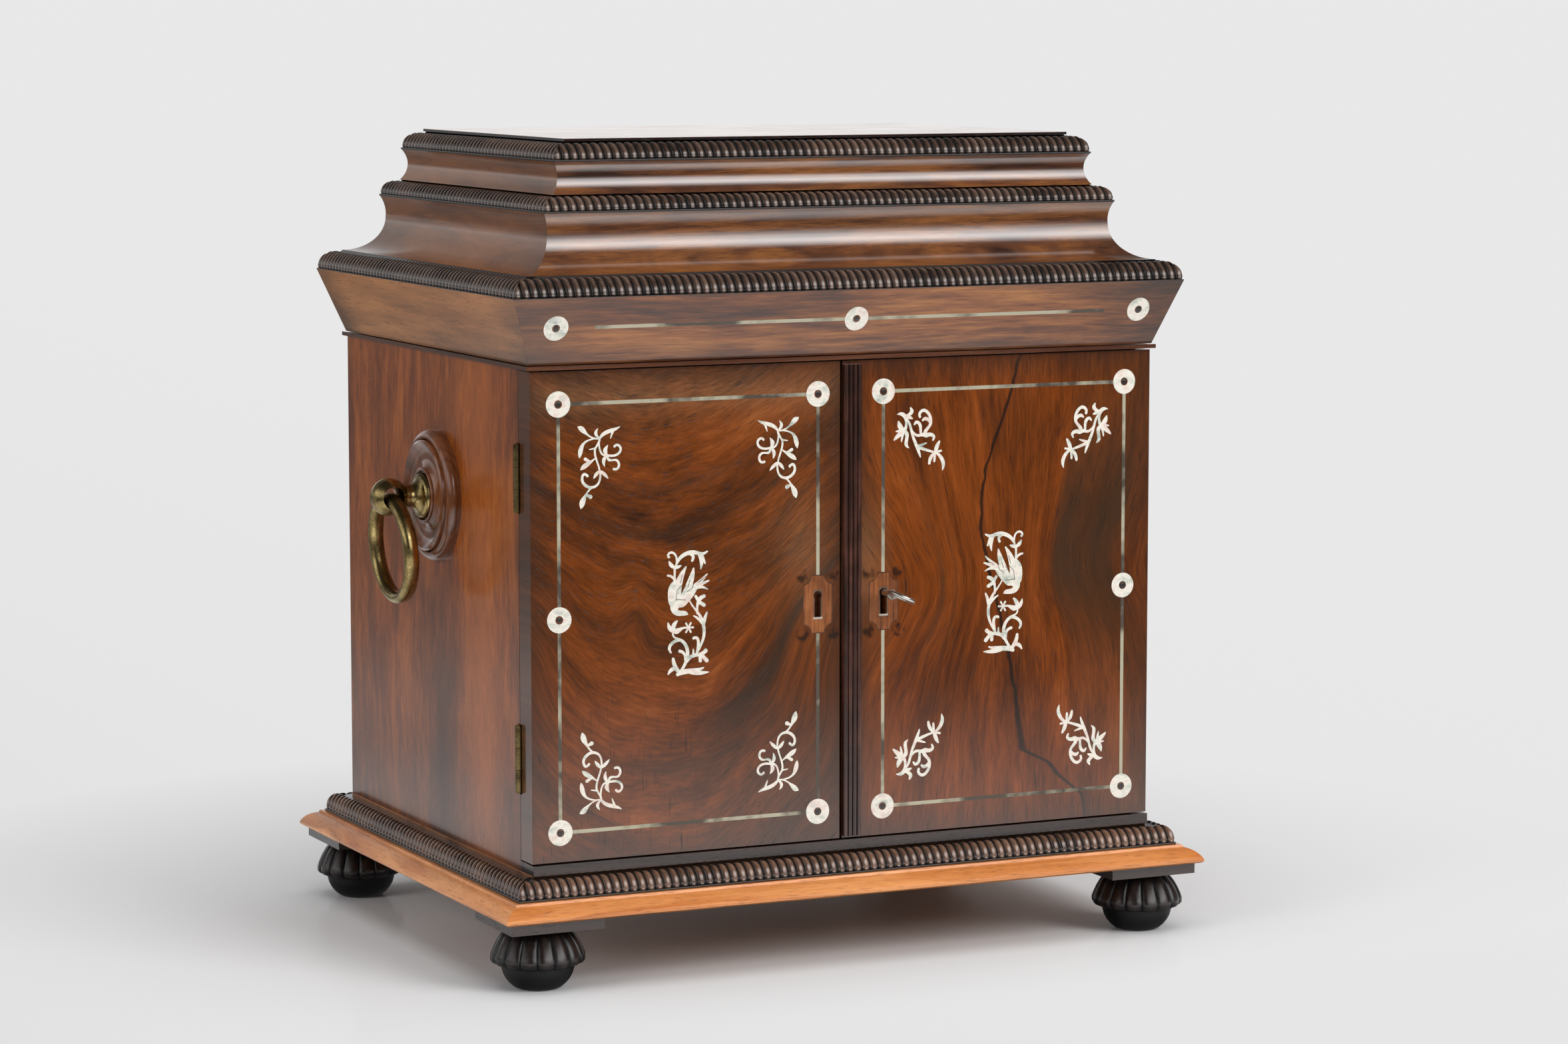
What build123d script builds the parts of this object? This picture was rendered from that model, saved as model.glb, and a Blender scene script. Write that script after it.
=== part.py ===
from build123d import *
import math
import os

# Table cabinet with a hinged caddy lid, two inlaid doors and six small drawers.
# Millimetres. The origin is on the floor under the middle of the body,
# X to the right, Y to the back, Z up.

# Body
WIDTH = 300.0
DEPTH = 226.0
HALF_W = WIDTH / 2
HALF_D = DEPTH / 2
FRONT = -HALF_D
SIDE_T = 10.0
BACK_T = 8.0
GLUE_LINE = 0.05
MITRE_REACH = 110.0

# Levels from the floor up
PAD_BOTTOM = 26.8
BASE_BOTTOM = 31.5
BASE_STEP = 39.4
PLINTH_BOTTOM = 48.5
PLINTH_TOP = 53.0
LIP_BOTTOM = 264.7
LIP_TOP = 266.5
FRIEZE_BOTTOM = 266.8
FRIEZE_TOP = 295.5
COVE_BOTTOM = 304.5
COVE_TOP = 330.0
SMALL_COVE_BOTTOM = 337.5
SMALL_COVE_TOP = 351.5
RIM_LEVEL = 359.8
TOP_LEVEL = 361.0

# Offsets of the mouldings from the body faces, outwards
BASE_TIP = 19.6
PLINTH_OUT = 1.55
LIP_OUT = 2.0
FRIEZE_FOOT = 0.5
FRIEZE_HEAD = 11.0
RING_LOW_INNER = -6.0
RING_MIDDLE_INNER = -24.0
RING_TOP_INNER = -32.0
TOP_RIM = -28.0

# Feet
PAD_SIZE = 42.5
PAD_AT = (145.0, 108.5)
FOOT_AT = (147.0, 111.0)
FOOT_LOBES = 16
FOOT_SECTIONS = (
    (PAD_BOTTOM, 12.4, 13.3),
    (22.6, 15.4, 16.6),
    (17.6, 18.2, 20.2),
    (13.8, 18.6, 20.8),
    (11.2, 17.0, 19.4),
)
FOOT_CAP_R = 17.0
FOOT_WAIST_Z = 10.6
FOOT_WAIST_R = 15.8
FOOT_SOLE_R = 8.6
DOWEL_R = 5.0
DOWEL_TOP = 39.0

# Doors
DOOR_T = 12.8
DOOR_BACK = FRONT + DOOR_T
CASE_FRONT = -99.8
DOOR_BOTTOM = 53.6
DOOR_TOP = 264.0
LEFT_DOOR = (-HALF_W, -4.6)
RIGHT_DOOR = (-3.4, HALF_W)

# Inlay in the doors and the frieze
DISC_R = 5.6
DISC_HOLE_R = 1.8
DISC_DEEP = 1.2
GROOVE_STOP_R = 3.6
LINE_W = 1.6
LINE_DEEP = 0.9
PEARL_DEEP = 0.9
DISC_ROWS = (250.0, 158.0, 66.3)
DISC_OUTER = 137.0
LEFT_INNER = -15.2
RIGHT_INNER = 16.5
FRIEZE_DISCS = (-140.3, 0.3, 140.3)
FRIEZE_LINE_ENDS = 12.0
FRIEZE_DISC_UP = 16.9

# Escutcheons, keyholes, lock and key
ESCUTCHEON_W = 14.5
ESCUTCHEON_H = 25.8
ESCUTCHEON_NOTCH = (4.0, 4.0)
ESCUTCHEON_T = 1.2
LEFT_KEYHOLE = (-15.2, 158.0)
RIGHT_KEYHOLE = (16.8, 157.6)
KEYHOLE_R = 2.0
KEYHOLE_SLOT = 3.2
KEYHOLE_TALL = 11.6
BLIND_KEYHOLE = 4.0
KEY_AXIS = (16.8, 161.4)
LOCK_X = (RIGHT_DOOR[0], 34.0)
LOCK_Z = (147.0, 176.0)
LOCK_T = 8.0
LOCK_SKIN = 1.0
BOLT_X = (LOCK_X[0] + 0.2, 28.5)
BOLT_Z = (167.0, 172.5)
BOLT_T = 3.0
BOLT_GAP = 0.3
BOLT_TALON = (3.0, 7.8)
BOLT_THROW = 5.5
KEY_R = 1.5
KEY_BIT = (6.4, 4.0, 1.8)
BOW_R = 5.5
BOW_WIRE_R = 1.0
BOW_OUT = 17.4
BOW_TILT = -25.0

# Meeting strip on the right door
STRIP_W = 8.6
STRIP_OUT = 2.5
STRIP_REEDS = 4
STRIP_Z = (54.6, 262.4)

# Door hinges: barrel axis, leaf and knuckle sizes
PIN_X = HALF_W + 0.7
PIN_Y = -100.0
PIN_R = 0.75
RUN_R = 0.81
BARREL_R = 1.6
BARREL_NOTCH_R = 2.0
LEAF_T = 1.2
CASE_LEAF_IN = 142.0
DOOR_LEAF_IN = 138.0
DOOR_HINGES = ((83.0, 111.5), (203.8, 232.3))
KNUCKLE_GAP = 0.1
PIN_HEAD = (1.3, 0.5)

# Lid hinges
LID_AXIS_Y = 116.2
LID_AXIS_Z = 266.65
LID_HINGE_X = (-85.0, 85.0)
LID_HINGE_L = 40.0
LID_LEAF_IN = 103.5

# Side handles
HANDLE_Y = -3.5
BOSS_R = 29.0
BOSS_RECESS = 5.6
EYE_OUT = 23.0
EYE_Z = 201.5
EYE_R = 8.5
EYE_SHANK_R = 3.0
RING_R = 22.2
RING_HALF_WIDE = 3.5
RING_HALF_DEEP = 2.75
RING_DROP = 0.7
RING_LEAN = 4.5
RING_GAP = 0.35
NUT_R = 5.6
NUT_T = 4.0
NUT_POCKET = (7.2, 4.6)

# Inside: drawers, divider, well and tray
DRAWER_BASE = 60.0
BAY_H = 49.0
SHELF_T = 4.0
DIVIDER_T = 6.0
WELL_FLOOR = (215.0, 220.0)
RAIL_BACK = -92.0
BACK_FACE = HALF_D - BACK_T
DRAWER_FRONT = -86.0
DRAWER_END = 100.0
DRAWER_GAP = 0.5
DRAWER_LIFT = 0.3
DRAWER_WALL = 5.0
DRAWER_FRONT_T = 8.0
DRAWER_FLOOR = 3.0
DRAWER_KNOB = ((0.0, 2.2), (1.6, 2.2), (4.2, 1.9), (6.4, 4.6), (8.8, 4.2), (10.0, 1.6))
BEARER_Z = (235.6, 241.6)
BEARER_W = 6.0
TRAY_X = 138.5
TRAY_Y = (-90.5, 102.5)
TRAY_Z = (242.0, 262.6)
TRAY_WALL = 4.0
TRAY_FLOOR = 3.0
TRAY_DIVIDER = 3.0
TRAY_MIDDLE_Y = 6.0
TRAY_CROSS = ((-46.0, "front"), (46.0, "front"), (0.0, "back"))
FINGER_NOTCH_R = 9.0

DOOR_FACE = Plane(origin=(0, FRONT, 0), x_dir=(1, 0, 0), z_dir=(0, -1, 0))

# Spray in the corners of the left door: each stroke is a list of (x, z, width),
# from the upper outer corner of the motif.
SPRAY_LEFT = (
    ((10.1, -6.1, 1.0), (13.5, -3.5, 1.7), (16.9, -2.5, 1.4), (19.5, -1.4, 0.3)),
    ((16.3, -3.0, 1.3), (15.2, -6.2, 0.4)),
    ((10.1, -6.1, 0.6), (6.7, -5.6, 0.7), (4.4, -4.1, 0.9), (2.1, -1.9, 2.3), (0.3, -0.8, 0.5)),
    ((9.7, -5.8, 0.9), (8.4, -3.5, 1.4), (9.3, -1.9, 0.4)),
    ((9.7, -6.1, 0.6), (5.9, -6.4, 0.7), (2.9, -7.9, 1.1), (1.4, -10.9, 2.1), (0.8, -14.0, 0.3)),
    ((10.1, -6.1, 1.0), (9.3, -8.5, 0.9), (8.1, -10.5, 0.9), (8.0, -12.6, 0.9), (9.3, -16.9, 0.8),
     (10.1, -20.0, 0.8)),
    ((8.2, -10.2, 0.9), (5.5, -10.6, 0.4)),
    ((9.9, -6.8, 0.7), (10.1, -10.3, 0.8), (11.6, -13.0, 0.9), (13.6, -13.5, 1.0), (16.5, -13.7, 1.0),
     (19.2, -12.5, 1.1), (19.8, -10.6, 1.1), (18.6, -9.2, 1.1), (17.1, -9.7, 1.2)),
    ((13.5, -13.3, 0.9), (15.8, -15.6, 1.0), (17.7, -15.6, 1.0), (19.0, -17.2, 1.1), (18.5, -19.1, 1.1),
     (16.7, -19.4, 1.2)),
    ((13.5, -13.4, 0.7), (12.7, -11.5, 1.9), (13.9, -9.1, 0.3)),
    ((13.3, -13.4, 0.7), (12.0, -15.6, 1.6), (12.4, -18.1, 0.3)),
    ((8.3, -14.3, 0.6), (5.9, -16.0, 1.3), (3.3, -17.6, 2.1), (1.4, -19.1, 0.4)),
    ((5.9, -16.1, 1.2), (3.5, -14.6, 1.4)),
    ((10.1, -19.9, 0.7), (8.6, -21.3, 1.5), (7.3, -23.1, 0.3)),
    ((10.1, -19.8, 0.7), (12.3, -21.5, 1.5), (14.0, -23.3, 0.3)),
    ((10.1, -19.8, 0.7), (10.3, -23.1, 0.9), (8.9, -25.9, 1.0), (5.9, -26.8, 1.2), (3.3, -25.6, 1.3),
     (2.0, -23.1, 1.2), (2.7, -21.2, 1.2), (4.4, -21.8, 1.3)),
    ((7.0, -26.6, 0.9), (4.8, -28.4, 0.8), (3.8, -29.8, 0.9), (2.5, -32.1, 2.3), (1.4, -35.7, 0.3)),
    ((3.8, -29.9, 0.8), (5.8, -30.8, 1.8)),
)

# Spray in the corners of the right door.
SPRAY_RIGHT = (
    ((5.6, -4.2, 2.0), (3.8, -2.9, 1.6), (1.8, -3.0, 0.4)),
    ((5.8, -4.0, 1.2), (7.4, -3.4, 1.4), (8.7, -2.2, 1.8), (8.3, -0.5, 0.9)),
    ((5.8, -4.2, 1.0), (7.4, -4.5, 1.6), (9.1, -5.1, 0.6)),
    ((5.2, -3.9, 1.6), (6.0, -6.0, 1.2), (6.0, -8.5, 1.3), (5.2, -10.3, 1.8)),
    ((4.8, -10.5, 1.4), (2.9, -8.0, 2.2), (2.3, -6.2, 0.7)),
    ((4.8, -10.5, 1.6), (2.8, -10.4, 1.3), (1.2, -10.5, 0.6)),
    ((4.8, -10.6, 1.6), (2.2, -12.4, 2.0), (0.2, -14.2, 0.7)),
    ((4.8, -10.6, 1.0), (4.1, -13.3, 1.1), (3.8, -15.0, 0.6)),
    ((4.8, -10.5, 1.8), (6.5, -12.4, 1.8), (6.1, -15.4, 1.7), (7.4, -18.0, 0.4)),
    ((6.3, -5.2, 0.8), (8.1, -8.4, 1.2), (9.2, -12.4, 1.2), (10.8, -16.3, 1.5), (12.4, -20.1, 1.3),
     (13.1, -22.2, 0.6)),
    ((8.3, -9.0, 0.8), (9.7, -11.5, 1.0), (11.9, -12.7, 1.2), (14.2, -12.4, 1.6), (16.0, -12.7, 2.1),
     (17.9, -12.5, 1.7), (19.5, -13.2, 1.5), (19.3, -15.0, 0.8)),
    ((15.3, -12.4, 1.6), (16.0, -10.4, 1.6), (17.8, -8.3, 1.4), (18.0, -5.2, 1.4), (16.5, -2.6, 1.4),
     (14.7, -1.7, 1.4), (12.9, -2.7, 1.3), (12.8, -4.4, 1.3)),
    ((17.8, -7.4, 0.8), (17.1, -6.1, 1.4), (15.3, -5.4, 1.5), (14.2, -6.1, 0.9)),
    ((13.3, -12.3, 1.0), (13.2, -9.9, 1.3), (12.5, -7.5, 1.5), (11.3, -6.8, 1.4), (10.2, -7.7, 0.9)),
    ((11.6, -17.6, 1.4), (14.2, -18.6, 1.4), (16.5, -19.4, 1.2), (20.4, -20.5, 0.9)),
    ((12.0, -17.4, 1.2), (14.2, -16.8, 1.0), (16.0, -16.2, 0.5)),
    ((20.5, -20.5, 1.4), (21.2, -18.1, 1.9), (22.4, -15.8, 0.9)),
    ((20.5, -20.4, 0.9), (23.2, -19.9, 1.0)),
    ((20.5, -20.5, 0.9), (23.1, -22.6, 1.6), (24.4, -25.5, 1.7), (24.0, -28.4, 0.4)),
    ((20.4, -20.5, 0.8), (20.1, -22.8, 1.2), (20.0, -24.4, 1.0)),
    ((20.4, -20.5, 0.9), (18.3, -22.6, 1.6), (17.5, -25.2, 1.2)),
)

# Bird among foliage in the middle of each door, from the upper left corner.
BIRD = (
    ((5.1, -5.4, 1.2), (6.9, -3.2, 1.6), (9.6, -1.8, 1.8), (13.2, -1.5, 1.8), (16.4, -2.2, 1.4),
     (19.2, -1.4, 0.8)),
    ((11.0, -2.0, 1.4), (12.6, -3.2, 1.4), (12.2, -4.9, 1.2)),
    ((15.4, -2.2, 1.5), (16.4, -4.5, 1.9), (16.2, -8.8, 0.5)),
    ((16.9, -3.2, 1.4), (18.2, -6.4, 0.8)),
    ((4.6, -6.6, 0.9), (4.8, -3.5, 0.9), (3.8, -1.6, 0.9), (2.2, -1.0, 1.0), (0.9, -1.8, 1.0),
     (1.2, -2.9, 1.2)),
    ((3.8, -7.6, 1.2), (2.2, -6.4, 1.7), (1.3, -4.8, 0.5)),
    ((3.8, -7.6, 1.2), (5.4, -7.4, 1.5), (6.9, -6.9, 0.5)),
    ((3.9, -7.4, 1.2), (3.9, -10.9, 1.0), (3.9, -12.9, 1.2), (4.2, -15.4, 2.0)),
    ((0.7, -10.9, 0.9), (2.2, -11.3, 1.1), (3.9, -13.1, 0.8)),
    ((14.1, -15.7, 2.2), (11.9, -18.7, 3.2), (8.7, -21.5, 4.4), (5.4, -23.2, 4.2), (3.4, -24.6, 3.2),
     (4.4, -26.8, 2.7), (7.1, -27.6, 2.3), (10.1, -28.3, 0.3)),
    ((4.2, -13.8, 1.6), (2.4, -16.5, 2.6), (2.2, -19.8, 3.0), (3.0, -22.7, 3.6), (4.7, -24.1, 3.2)),
    ((5.0, -22.4, 4.2), (5.1, -17.5, 3.9), (6.5, -12.6, 2.9), (9.2, -7.6, 0.7)),
    ((7.8, -22.0, 4.2), (9.4, -18.5, 3.4), (11.4, -13.7, 2.8), (12.8, -8.4, 0.7)),
    ((12.6, -16.6, 2.0), (15.9, -14.3, 1.7), (19.2, -11.2, 0.6)),
    ((12.6, -16.9, 2.0), (16.4, -15.4, 1.6), (19.9, -14.1, 0.7)),
    ((12.6, -17.3, 1.8), (15.9, -16.6, 1.4), (19.4, -17.8, 0.4)),
    ((14.6, -27.9, 1.2), (14.6, -24.4, 1.2), (15.2, -22.5, 1.7), (17.7, -20.7, 1.6)),
    ((15.0, -22.5, 1.4), (13.8, -20.6, 1.3)),
    ((15.2, -23.0, 1.6), (17.7, -24.6, 1.6)),
    ((10.8, -22.2, 0.6), (12.8, -25.3, 0.8), (15.5, -28.7, 1.2), (17.3, -32.9, 1.5), (17.7, -37.1, 1.4),
     (16.4, -41.5, 1.1), (14.1, -45.5, 0.8)),
    ((12.8, -29.0, 0.5), (15.0, -30.4, 1.2), (16.8, -32.4, 1.2)),
    ((17.5, -32.6, 1.6), (18.3, -29.7, 1.4), (19.1, -27.9, 0.8)),
    ((3.1, -35.1, 1.8), (1.6, -33.8, 1.9), (0.7, -31.3, 0.4)),
    ((3.1, -35.0, 1.4), (3.7, -32.2, 1.9), (4.9, -30.9, 0.9)),
    ((3.1, -35.1, 1.6), (5.8, -34.9, 2.1), (7.8, -34.0, 0.9), (10.3, -34.0, 0.9)),
    ((3.1, -35.3, 0.9), (3.7, -37.8, 0.8), (6.0, -38.9, 1.2), (8.7, -41.1, 1.5), (9.9, -44.5, 1.6),
     (9.4, -48.0, 1.5), (6.9, -52.4, 1.2)),
    ((6.2, -39.2, 1.4), (3.1, -40.0, 1.4), (1.4, -42.0, 1.4), (2.0, -44.3, 0.9)),
    ((8.9, -47.8, 1.4), (7.9, -44.8, 1.3), (6.2, -44.0, 1.4)),
    ((6.0, -53.2, 1.5), (3.9, -50.4, 1.9), (3.1, -47.2, 1.3)),
    ((4.4, -51.4, 1.4), (2.2, -51.9, 1.7), (0.8, -53.6, 0.8)),
    ((5.2, -54.0, 1.6), (8.3, -53.1, 2.2), (12.3, -52.8, 2.0), (17.3, -51.9, 0.7)),
    ((11.0, -53.2, 2.0), (16.0, -54.0, 1.8), (19.9, -53.9, 0.4)),
    ((9.8, -48.8, 0.8), (12.3, -46.4, 1.6), (15.7, -45.9, 1.5), (18.4, -44.5, 1.9)),
    ((15.7, -45.9, 1.5), (15.9, -48.7, 1.6)),
    ((16.2, -45.9, 1.5), (18.9, -48.8, 1.8)),
    ((12.6, -46.5, 1.4), (12.6, -43.6, 0.6)),
    ((14.1, -45.3, 0.8), (15.0, -41.5, 1.4), (14.2, -38.7, 1.4), (12.8, -38.7, 1.3)),
)
BIRD_SIZE = (20.4, 55.0)
STAR_FLOWER = (10.3, -34.0)
STAR_PETALS = 6
STAR_R = 2.2
STAR_PETAL_W = 0.9
BIRD_LEFT_AT = (-87.3, 185.3)
BIRD_RIGHT_AT = (86.5, 185.9)

# Upper outer corner of each spray: x, z, mirror in x, mirror in z
SPRAYS_LEFT_AT = (
    (-128.2, 240.9, 1, 1),
    (-24.3, 240.9, -1, 1),
    (-128.2, 73.2, 1, -1),
    (-24.3, 75.6, -1, -1),
)
SPRAYS_RIGHT_AT = (
    (21.6, 242.6, 1, 1),
    (130.4, 241.0, -1, 1),
    (21.6, 77.0, 1, -1),
    (129.0, 77.0, -1, -1),
)


def keep(builder, label):
    """Names a finished piece and writes it."""
    builder.part.label = label
    export_step(builder.part, f"parts/{label}.step")


def slab(x, y, z, mode=Mode.ADD):
    """A board between two limits along each axis."""
    middle = ((x[0] + x[1]) / 2, (y[0] + y[1]) / 2, (z[0] + z[1]) / 2)
    with Locations(middle):
        Box(x[1] - x[0], y[1] - y[0], z[1] - z[0], mode=mode)


def rod(start, end, radius, mode=Mode.ADD):
    """A round bar between two points on a line along one axis."""
    along = Vector(end) - Vector(start)
    with BuildSketch(Plane(origin=start, z_dir=along)) as section:
        Circle(radius)
    extrude(section.sketch, amount=along.length, mode=mode)


# Mouldings

def level_block(z, out):
    """A block whose outline is the body's moved out by one offset."""
    slab((-HALF_W - out, HALF_W + out), (-HALF_D - out, HALF_D + out), z)


def cut_level_block(z, out):
    slab((-HALF_W - out, HALF_W + out), (-HALF_D - out, HALF_D + out), z, mode=Mode.SUBTRACT)


def moulded_block(start, runs):
    """A block with the same moulded edge all round, mitred at the corners.

    start is (offset, z); each run is a straight end point or an arc's middle and end.
    """
    for plane, half, mode in ((Plane.XZ, HALF_W, Mode.ADD), (Plane.YZ, HALF_D, Mode.INTERSECT)):
        with BuildSketch(plane) as section:
            with BuildLine():
                here = (half + start[0], start[1])
                Line((0, start[1]), here)
                for run in runs:
                    points = [(half + offset, z) for offset, z in run]
                    if len(points) == 1:
                        Line(here, points[0])
                    else:
                        ThreePointArc(here, points[0], points[1])
                    here = points[-1]
                Line(here, (0, here[1]))
                Line((0, here[1]), (0, start[1]))
            make_face()
            mirror(about=Plane.YZ)
        extrude(section.sketch, amount=WIDTH, both=True, mode=mode)


def mitre_cuts(z, reach):
    """Parts a frame into four mitred lengths."""
    tall = z[1] - z[0]
    for side_x in (-1, 1):
        for side_y in (-1, 1):
            place = (side_x * HALF_W, side_y * HALF_D, (z[0] + z[1]) / 2)
            with Locations(Location(place, (0, 0, side_x * side_y * 45))):
                Box(reach, GLUE_LINE, tall + 2, mode=Mode.SUBTRACT)


def moulded_ring(label, start, runs, inner):
    """Four mitred lengths of moulding round the body outline."""
    z = (start[1], runs[-1][-1][1])
    with BuildPart() as ring:
        moulded_block(start, runs)
        cut_level_block((z[0] - 1, z[1] + 1), inner)
        mitre_cuts(z, MITRE_REACH)
    keep(ring, label)


# Base and feet

def base_board():
    with BuildPart() as board:
        moulded_block(
            (BASE_TIP - 1.2, BASE_BOTTOM),
            (
                ((BASE_TIP, BASE_BOTTOM + 0.8),),
                ((BASE_TIP, BASE_BOTTOM + 1.8),),
                ((17.4, 36.1), (12.6, 38.3)),
                ((12.2, BASE_STEP),),
            ),
        )
        level_block((BASE_STEP, PLINTH_BOTTOM), 0)
        for x in (-FOOT_AT[0], FOOT_AT[0]):
            for y in (-FOOT_AT[1], FOOT_AT[1]):
                rod((x, y, BASE_BOTTOM), (x, y, DOWEL_TOP), DOWEL_R, Mode.SUBTRACT)
    keep(board, "base_board")


def base_gadroon():
    moulded_ring(
        "base_gadroon",
        (10.2, BASE_STEP),
        (((8.6, 44.6), (4.0, PLINTH_BOTTOM)),),
        0,
    )


def plinth_board():
    """A board under the doors and between the sides."""
    inner = HALF_W - SIDE_T
    with BuildPart() as board:
        slab((-HALF_W, HALF_W), (FRONT - PLINTH_OUT, CASE_FRONT), (PLINTH_BOTTOM, PLINTH_TOP))
        slab((-inner, inner), (CASE_FRONT - 1, HALF_D), (PLINTH_BOTTOM, PLINTH_TOP))
    keep(board, "plinth_board")


def foot_pads():
    with BuildPart() as pads:
        for x in (-1, 1):
            for y in (-1, 1):
                at = (x * PAD_AT[0], y * PAD_AT[1])
                reach = PAD_SIZE / 2
                slab(
                    (at[0] - reach, at[0] + reach),
                    (at[1] - reach, at[1] + reach),
                    (PAD_BOTTOM, BASE_BOTTOM),
                )
                foot = (x * FOOT_AT[0], y * FOOT_AT[1])
                rod((*foot, PAD_BOTTOM), (*foot, BASE_BOTTOM), DOWEL_R, Mode.SUBTRACT)
    keep(pads, "foot_pads")


def lobed_outline(x, y, root, crest):
    """A closed ring of bulging arcs, one for each lobe of a foot."""
    step = 2 * math.pi / FOOT_LOBES
    with BuildLine() as outline:
        for lobe in range(FOOT_LOBES):
            a, b = lobe * step, (lobe + 1) * step
            middle = (a + b) / 2
            ThreePointArc(
                (x + root * math.cos(a), y + root * math.sin(a)),
                (x + crest * math.cos(middle), y + crest * math.sin(middle)),
                (x + root * math.cos(b), y + root * math.sin(b)),
            )
    make_face(outline.edges())


def foot(label, x, y):
    with BuildPart() as turned:
        for z, root, crest in FOOT_SECTIONS:
            with BuildSketch(Plane.XY.offset(z)):
                lobed_outline(x, y, root, crest)
        loft()
        with BuildSketch(Plane.XZ.offset(-y)):
            with BuildLine():
                cap_z = FOOT_SECTIONS[-1][0]
                Polyline((x, cap_z), (x + FOOT_CAP_R, cap_z), (x + FOOT_WAIST_R, FOOT_WAIST_Z))
                ThreePointArc((x + FOOT_WAIST_R, FOOT_WAIST_Z), (x + 13.6, 4.4), (x + FOOT_SOLE_R, 0))
                Polyline((x + FOOT_SOLE_R, 0), (x, 0), (x, cap_z))
            make_face()
        revolve(axis=Axis((x, y, 0), (0, 0, 1)))
        rod((x, y, PAD_BOTTOM), (x, y, DOWEL_TOP), DOWEL_R)
    keep(turned, label)


# Carcass

def side_panel(label, side):
    with BuildPart() as panel:
        inner, outer = side * (HALF_W - SIDE_T), side * HALF_W
        slab(sorted((inner, outer)), (CASE_FRONT, HALF_D), (PLINTH_BOTTOM, LIP_BOTTOM))
        for z in DOOR_HINGES:
            leaf_x = sorted((side * CASE_LEAF_IN, side * (HALF_W + 1)))
            slab(leaf_x, (CASE_FRONT - 1, CASE_FRONT + LEAF_T), z, mode=Mode.SUBTRACT)
            barrel_notch(side, z)
        rod((inner, HANDLE_Y, EYE_Z), (outer, HANDLE_Y, EYE_Z), EYE_SHANK_R, Mode.SUBTRACT)
        pocket_end = (inner + side * NUT_POCKET[1], HANDLE_Y, EYE_Z)
        rod((inner, HANDLE_Y, EYE_Z), pocket_end, NUT_POCKET[0], Mode.SUBTRACT)
    keep(panel, label)


def barrel_notch(side, z):
    """Room for the hinge barrel in a side or a door."""
    x = side * PIN_X
    rod((x, PIN_Y, z[0] - 1), (x, PIN_Y, z[1] + 1), BARREL_NOTCH_R, Mode.SUBTRACT)


def inner_board(label, y, z):
    """A board between the two sides."""
    with BuildPart() as board:
        slab((-HALF_W + SIDE_T, HALF_W - SIDE_T), y, z)
    keep(board, label)


def centre_divider():
    with BuildPart() as divider:
        slab((-DIVIDER_T / 2, DIVIDER_T / 2), (CASE_FRONT, BACK_FACE), (DRAWER_BASE, WELL_FLOOR[0]))
    keep(divider, "centre_divider")


def bay_columns():
    inner = HALF_W - SIDE_T
    return {"left": (-inner, -DIVIDER_T / 2), "right": (DIVIDER_T / 2, inner)}


def bay_rows():
    rows = {}
    for place, name in enumerate(("bottom", "middle", "top")):
        foot_z = DRAWER_BASE + place * (BAY_H + SHELF_T)
        rows[name] = (foot_z, foot_z + BAY_H)
    return rows


def drawer_shelves():
    with BuildPart() as shelves:
        for x in bay_columns().values():
            for z in (bay_rows()["bottom"][1], bay_rows()["middle"][1]):
                slab(x, (CASE_FRONT, BACK_FACE), (z, z + SHELF_T))
    keep(shelves, "drawer_shelves")


def tray_bearers():
    with BuildPart() as bearers:
        inner = HALF_W - SIDE_T
        for side in (-1, 1):
            slab(sorted((side * inner, side * (inner - BEARER_W))), (RAIL_BACK, BACK_FACE), BEARER_Z)
    keep(bearers, "tray_bearers")


def top_lip():
    with BuildPart() as lip:
        level_block((LIP_BOTTOM, LIP_TOP), LIP_OUT)
        cut_level_block((LIP_BOTTOM - 1, LIP_TOP + 1), -SIDE_T)
        slab(
            (-HALF_W + SIDE_T + 1, HALF_W - SIDE_T - 1),
            (FRONT + SIDE_T - 1, RAIL_BACK),
            (LIP_BOTTOM, LIP_TOP),
        )
        mitre_cuts((LIP_BOTTOM, LIP_TOP), 30)
        for x in LID_HINGE_X:
            span = (x - LID_HINGE_L / 2, x + LID_HINGE_L / 2)
            slab(span, (LID_LEAF_IN, HALF_D + 4), (LIP_TOP - LEAF_T, LIP_TOP + 1), mode=Mode.SUBTRACT)
            lid_barrel_notch(span)
    keep(lip, "top_lip")


def lid_barrel_notch(span):
    start = (span[0] - 1, LID_AXIS_Y, LID_AXIS_Z)
    rod(start, (span[1] + 1, LID_AXIS_Y, LID_AXIS_Z), BARREL_NOTCH_R, Mode.SUBTRACT)


# Drawers and tray

def drawer(column, row):
    x = [bay_columns()[column][0] + DRAWER_GAP, bay_columns()[column][1] - DRAWER_GAP]
    z = [bay_rows()[row][0] + DRAWER_LIFT, bay_rows()[row][1] - DRAWER_GAP]
    knob_x, knob_z = sum(x) / 2, sum(z) / 2
    with BuildPart() as body:
        slab(x, (DRAWER_FRONT, DRAWER_END), z)
        slab(
            (x[0] + DRAWER_WALL, x[1] - DRAWER_WALL),
            (DRAWER_FRONT + DRAWER_FRONT_T, DRAWER_END - DRAWER_WALL),
            (z[0] + DRAWER_FLOOR, z[1] + 1),
            mode=Mode.SUBTRACT,
        )
        with BuildSketch(Plane.XY.offset(knob_z)):
            with BuildLine():
                face = DRAWER_FRONT - GLUE_LINE
                outline = [(knob_x + radius, face - out) for out, radius in DRAWER_KNOB]
                Polyline((knob_x, face), outline[0], outline[1], outline[2])
                Spline(*outline[2:])
                Polyline(outline[-1], (knob_x, outline[-1][1]), (knob_x, face))
            make_face()
        revolve(axis=Axis((knob_x, face, knob_z), (0, 1, 0)))
    keep(body, f"drawer_{column}_{row}")


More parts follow.
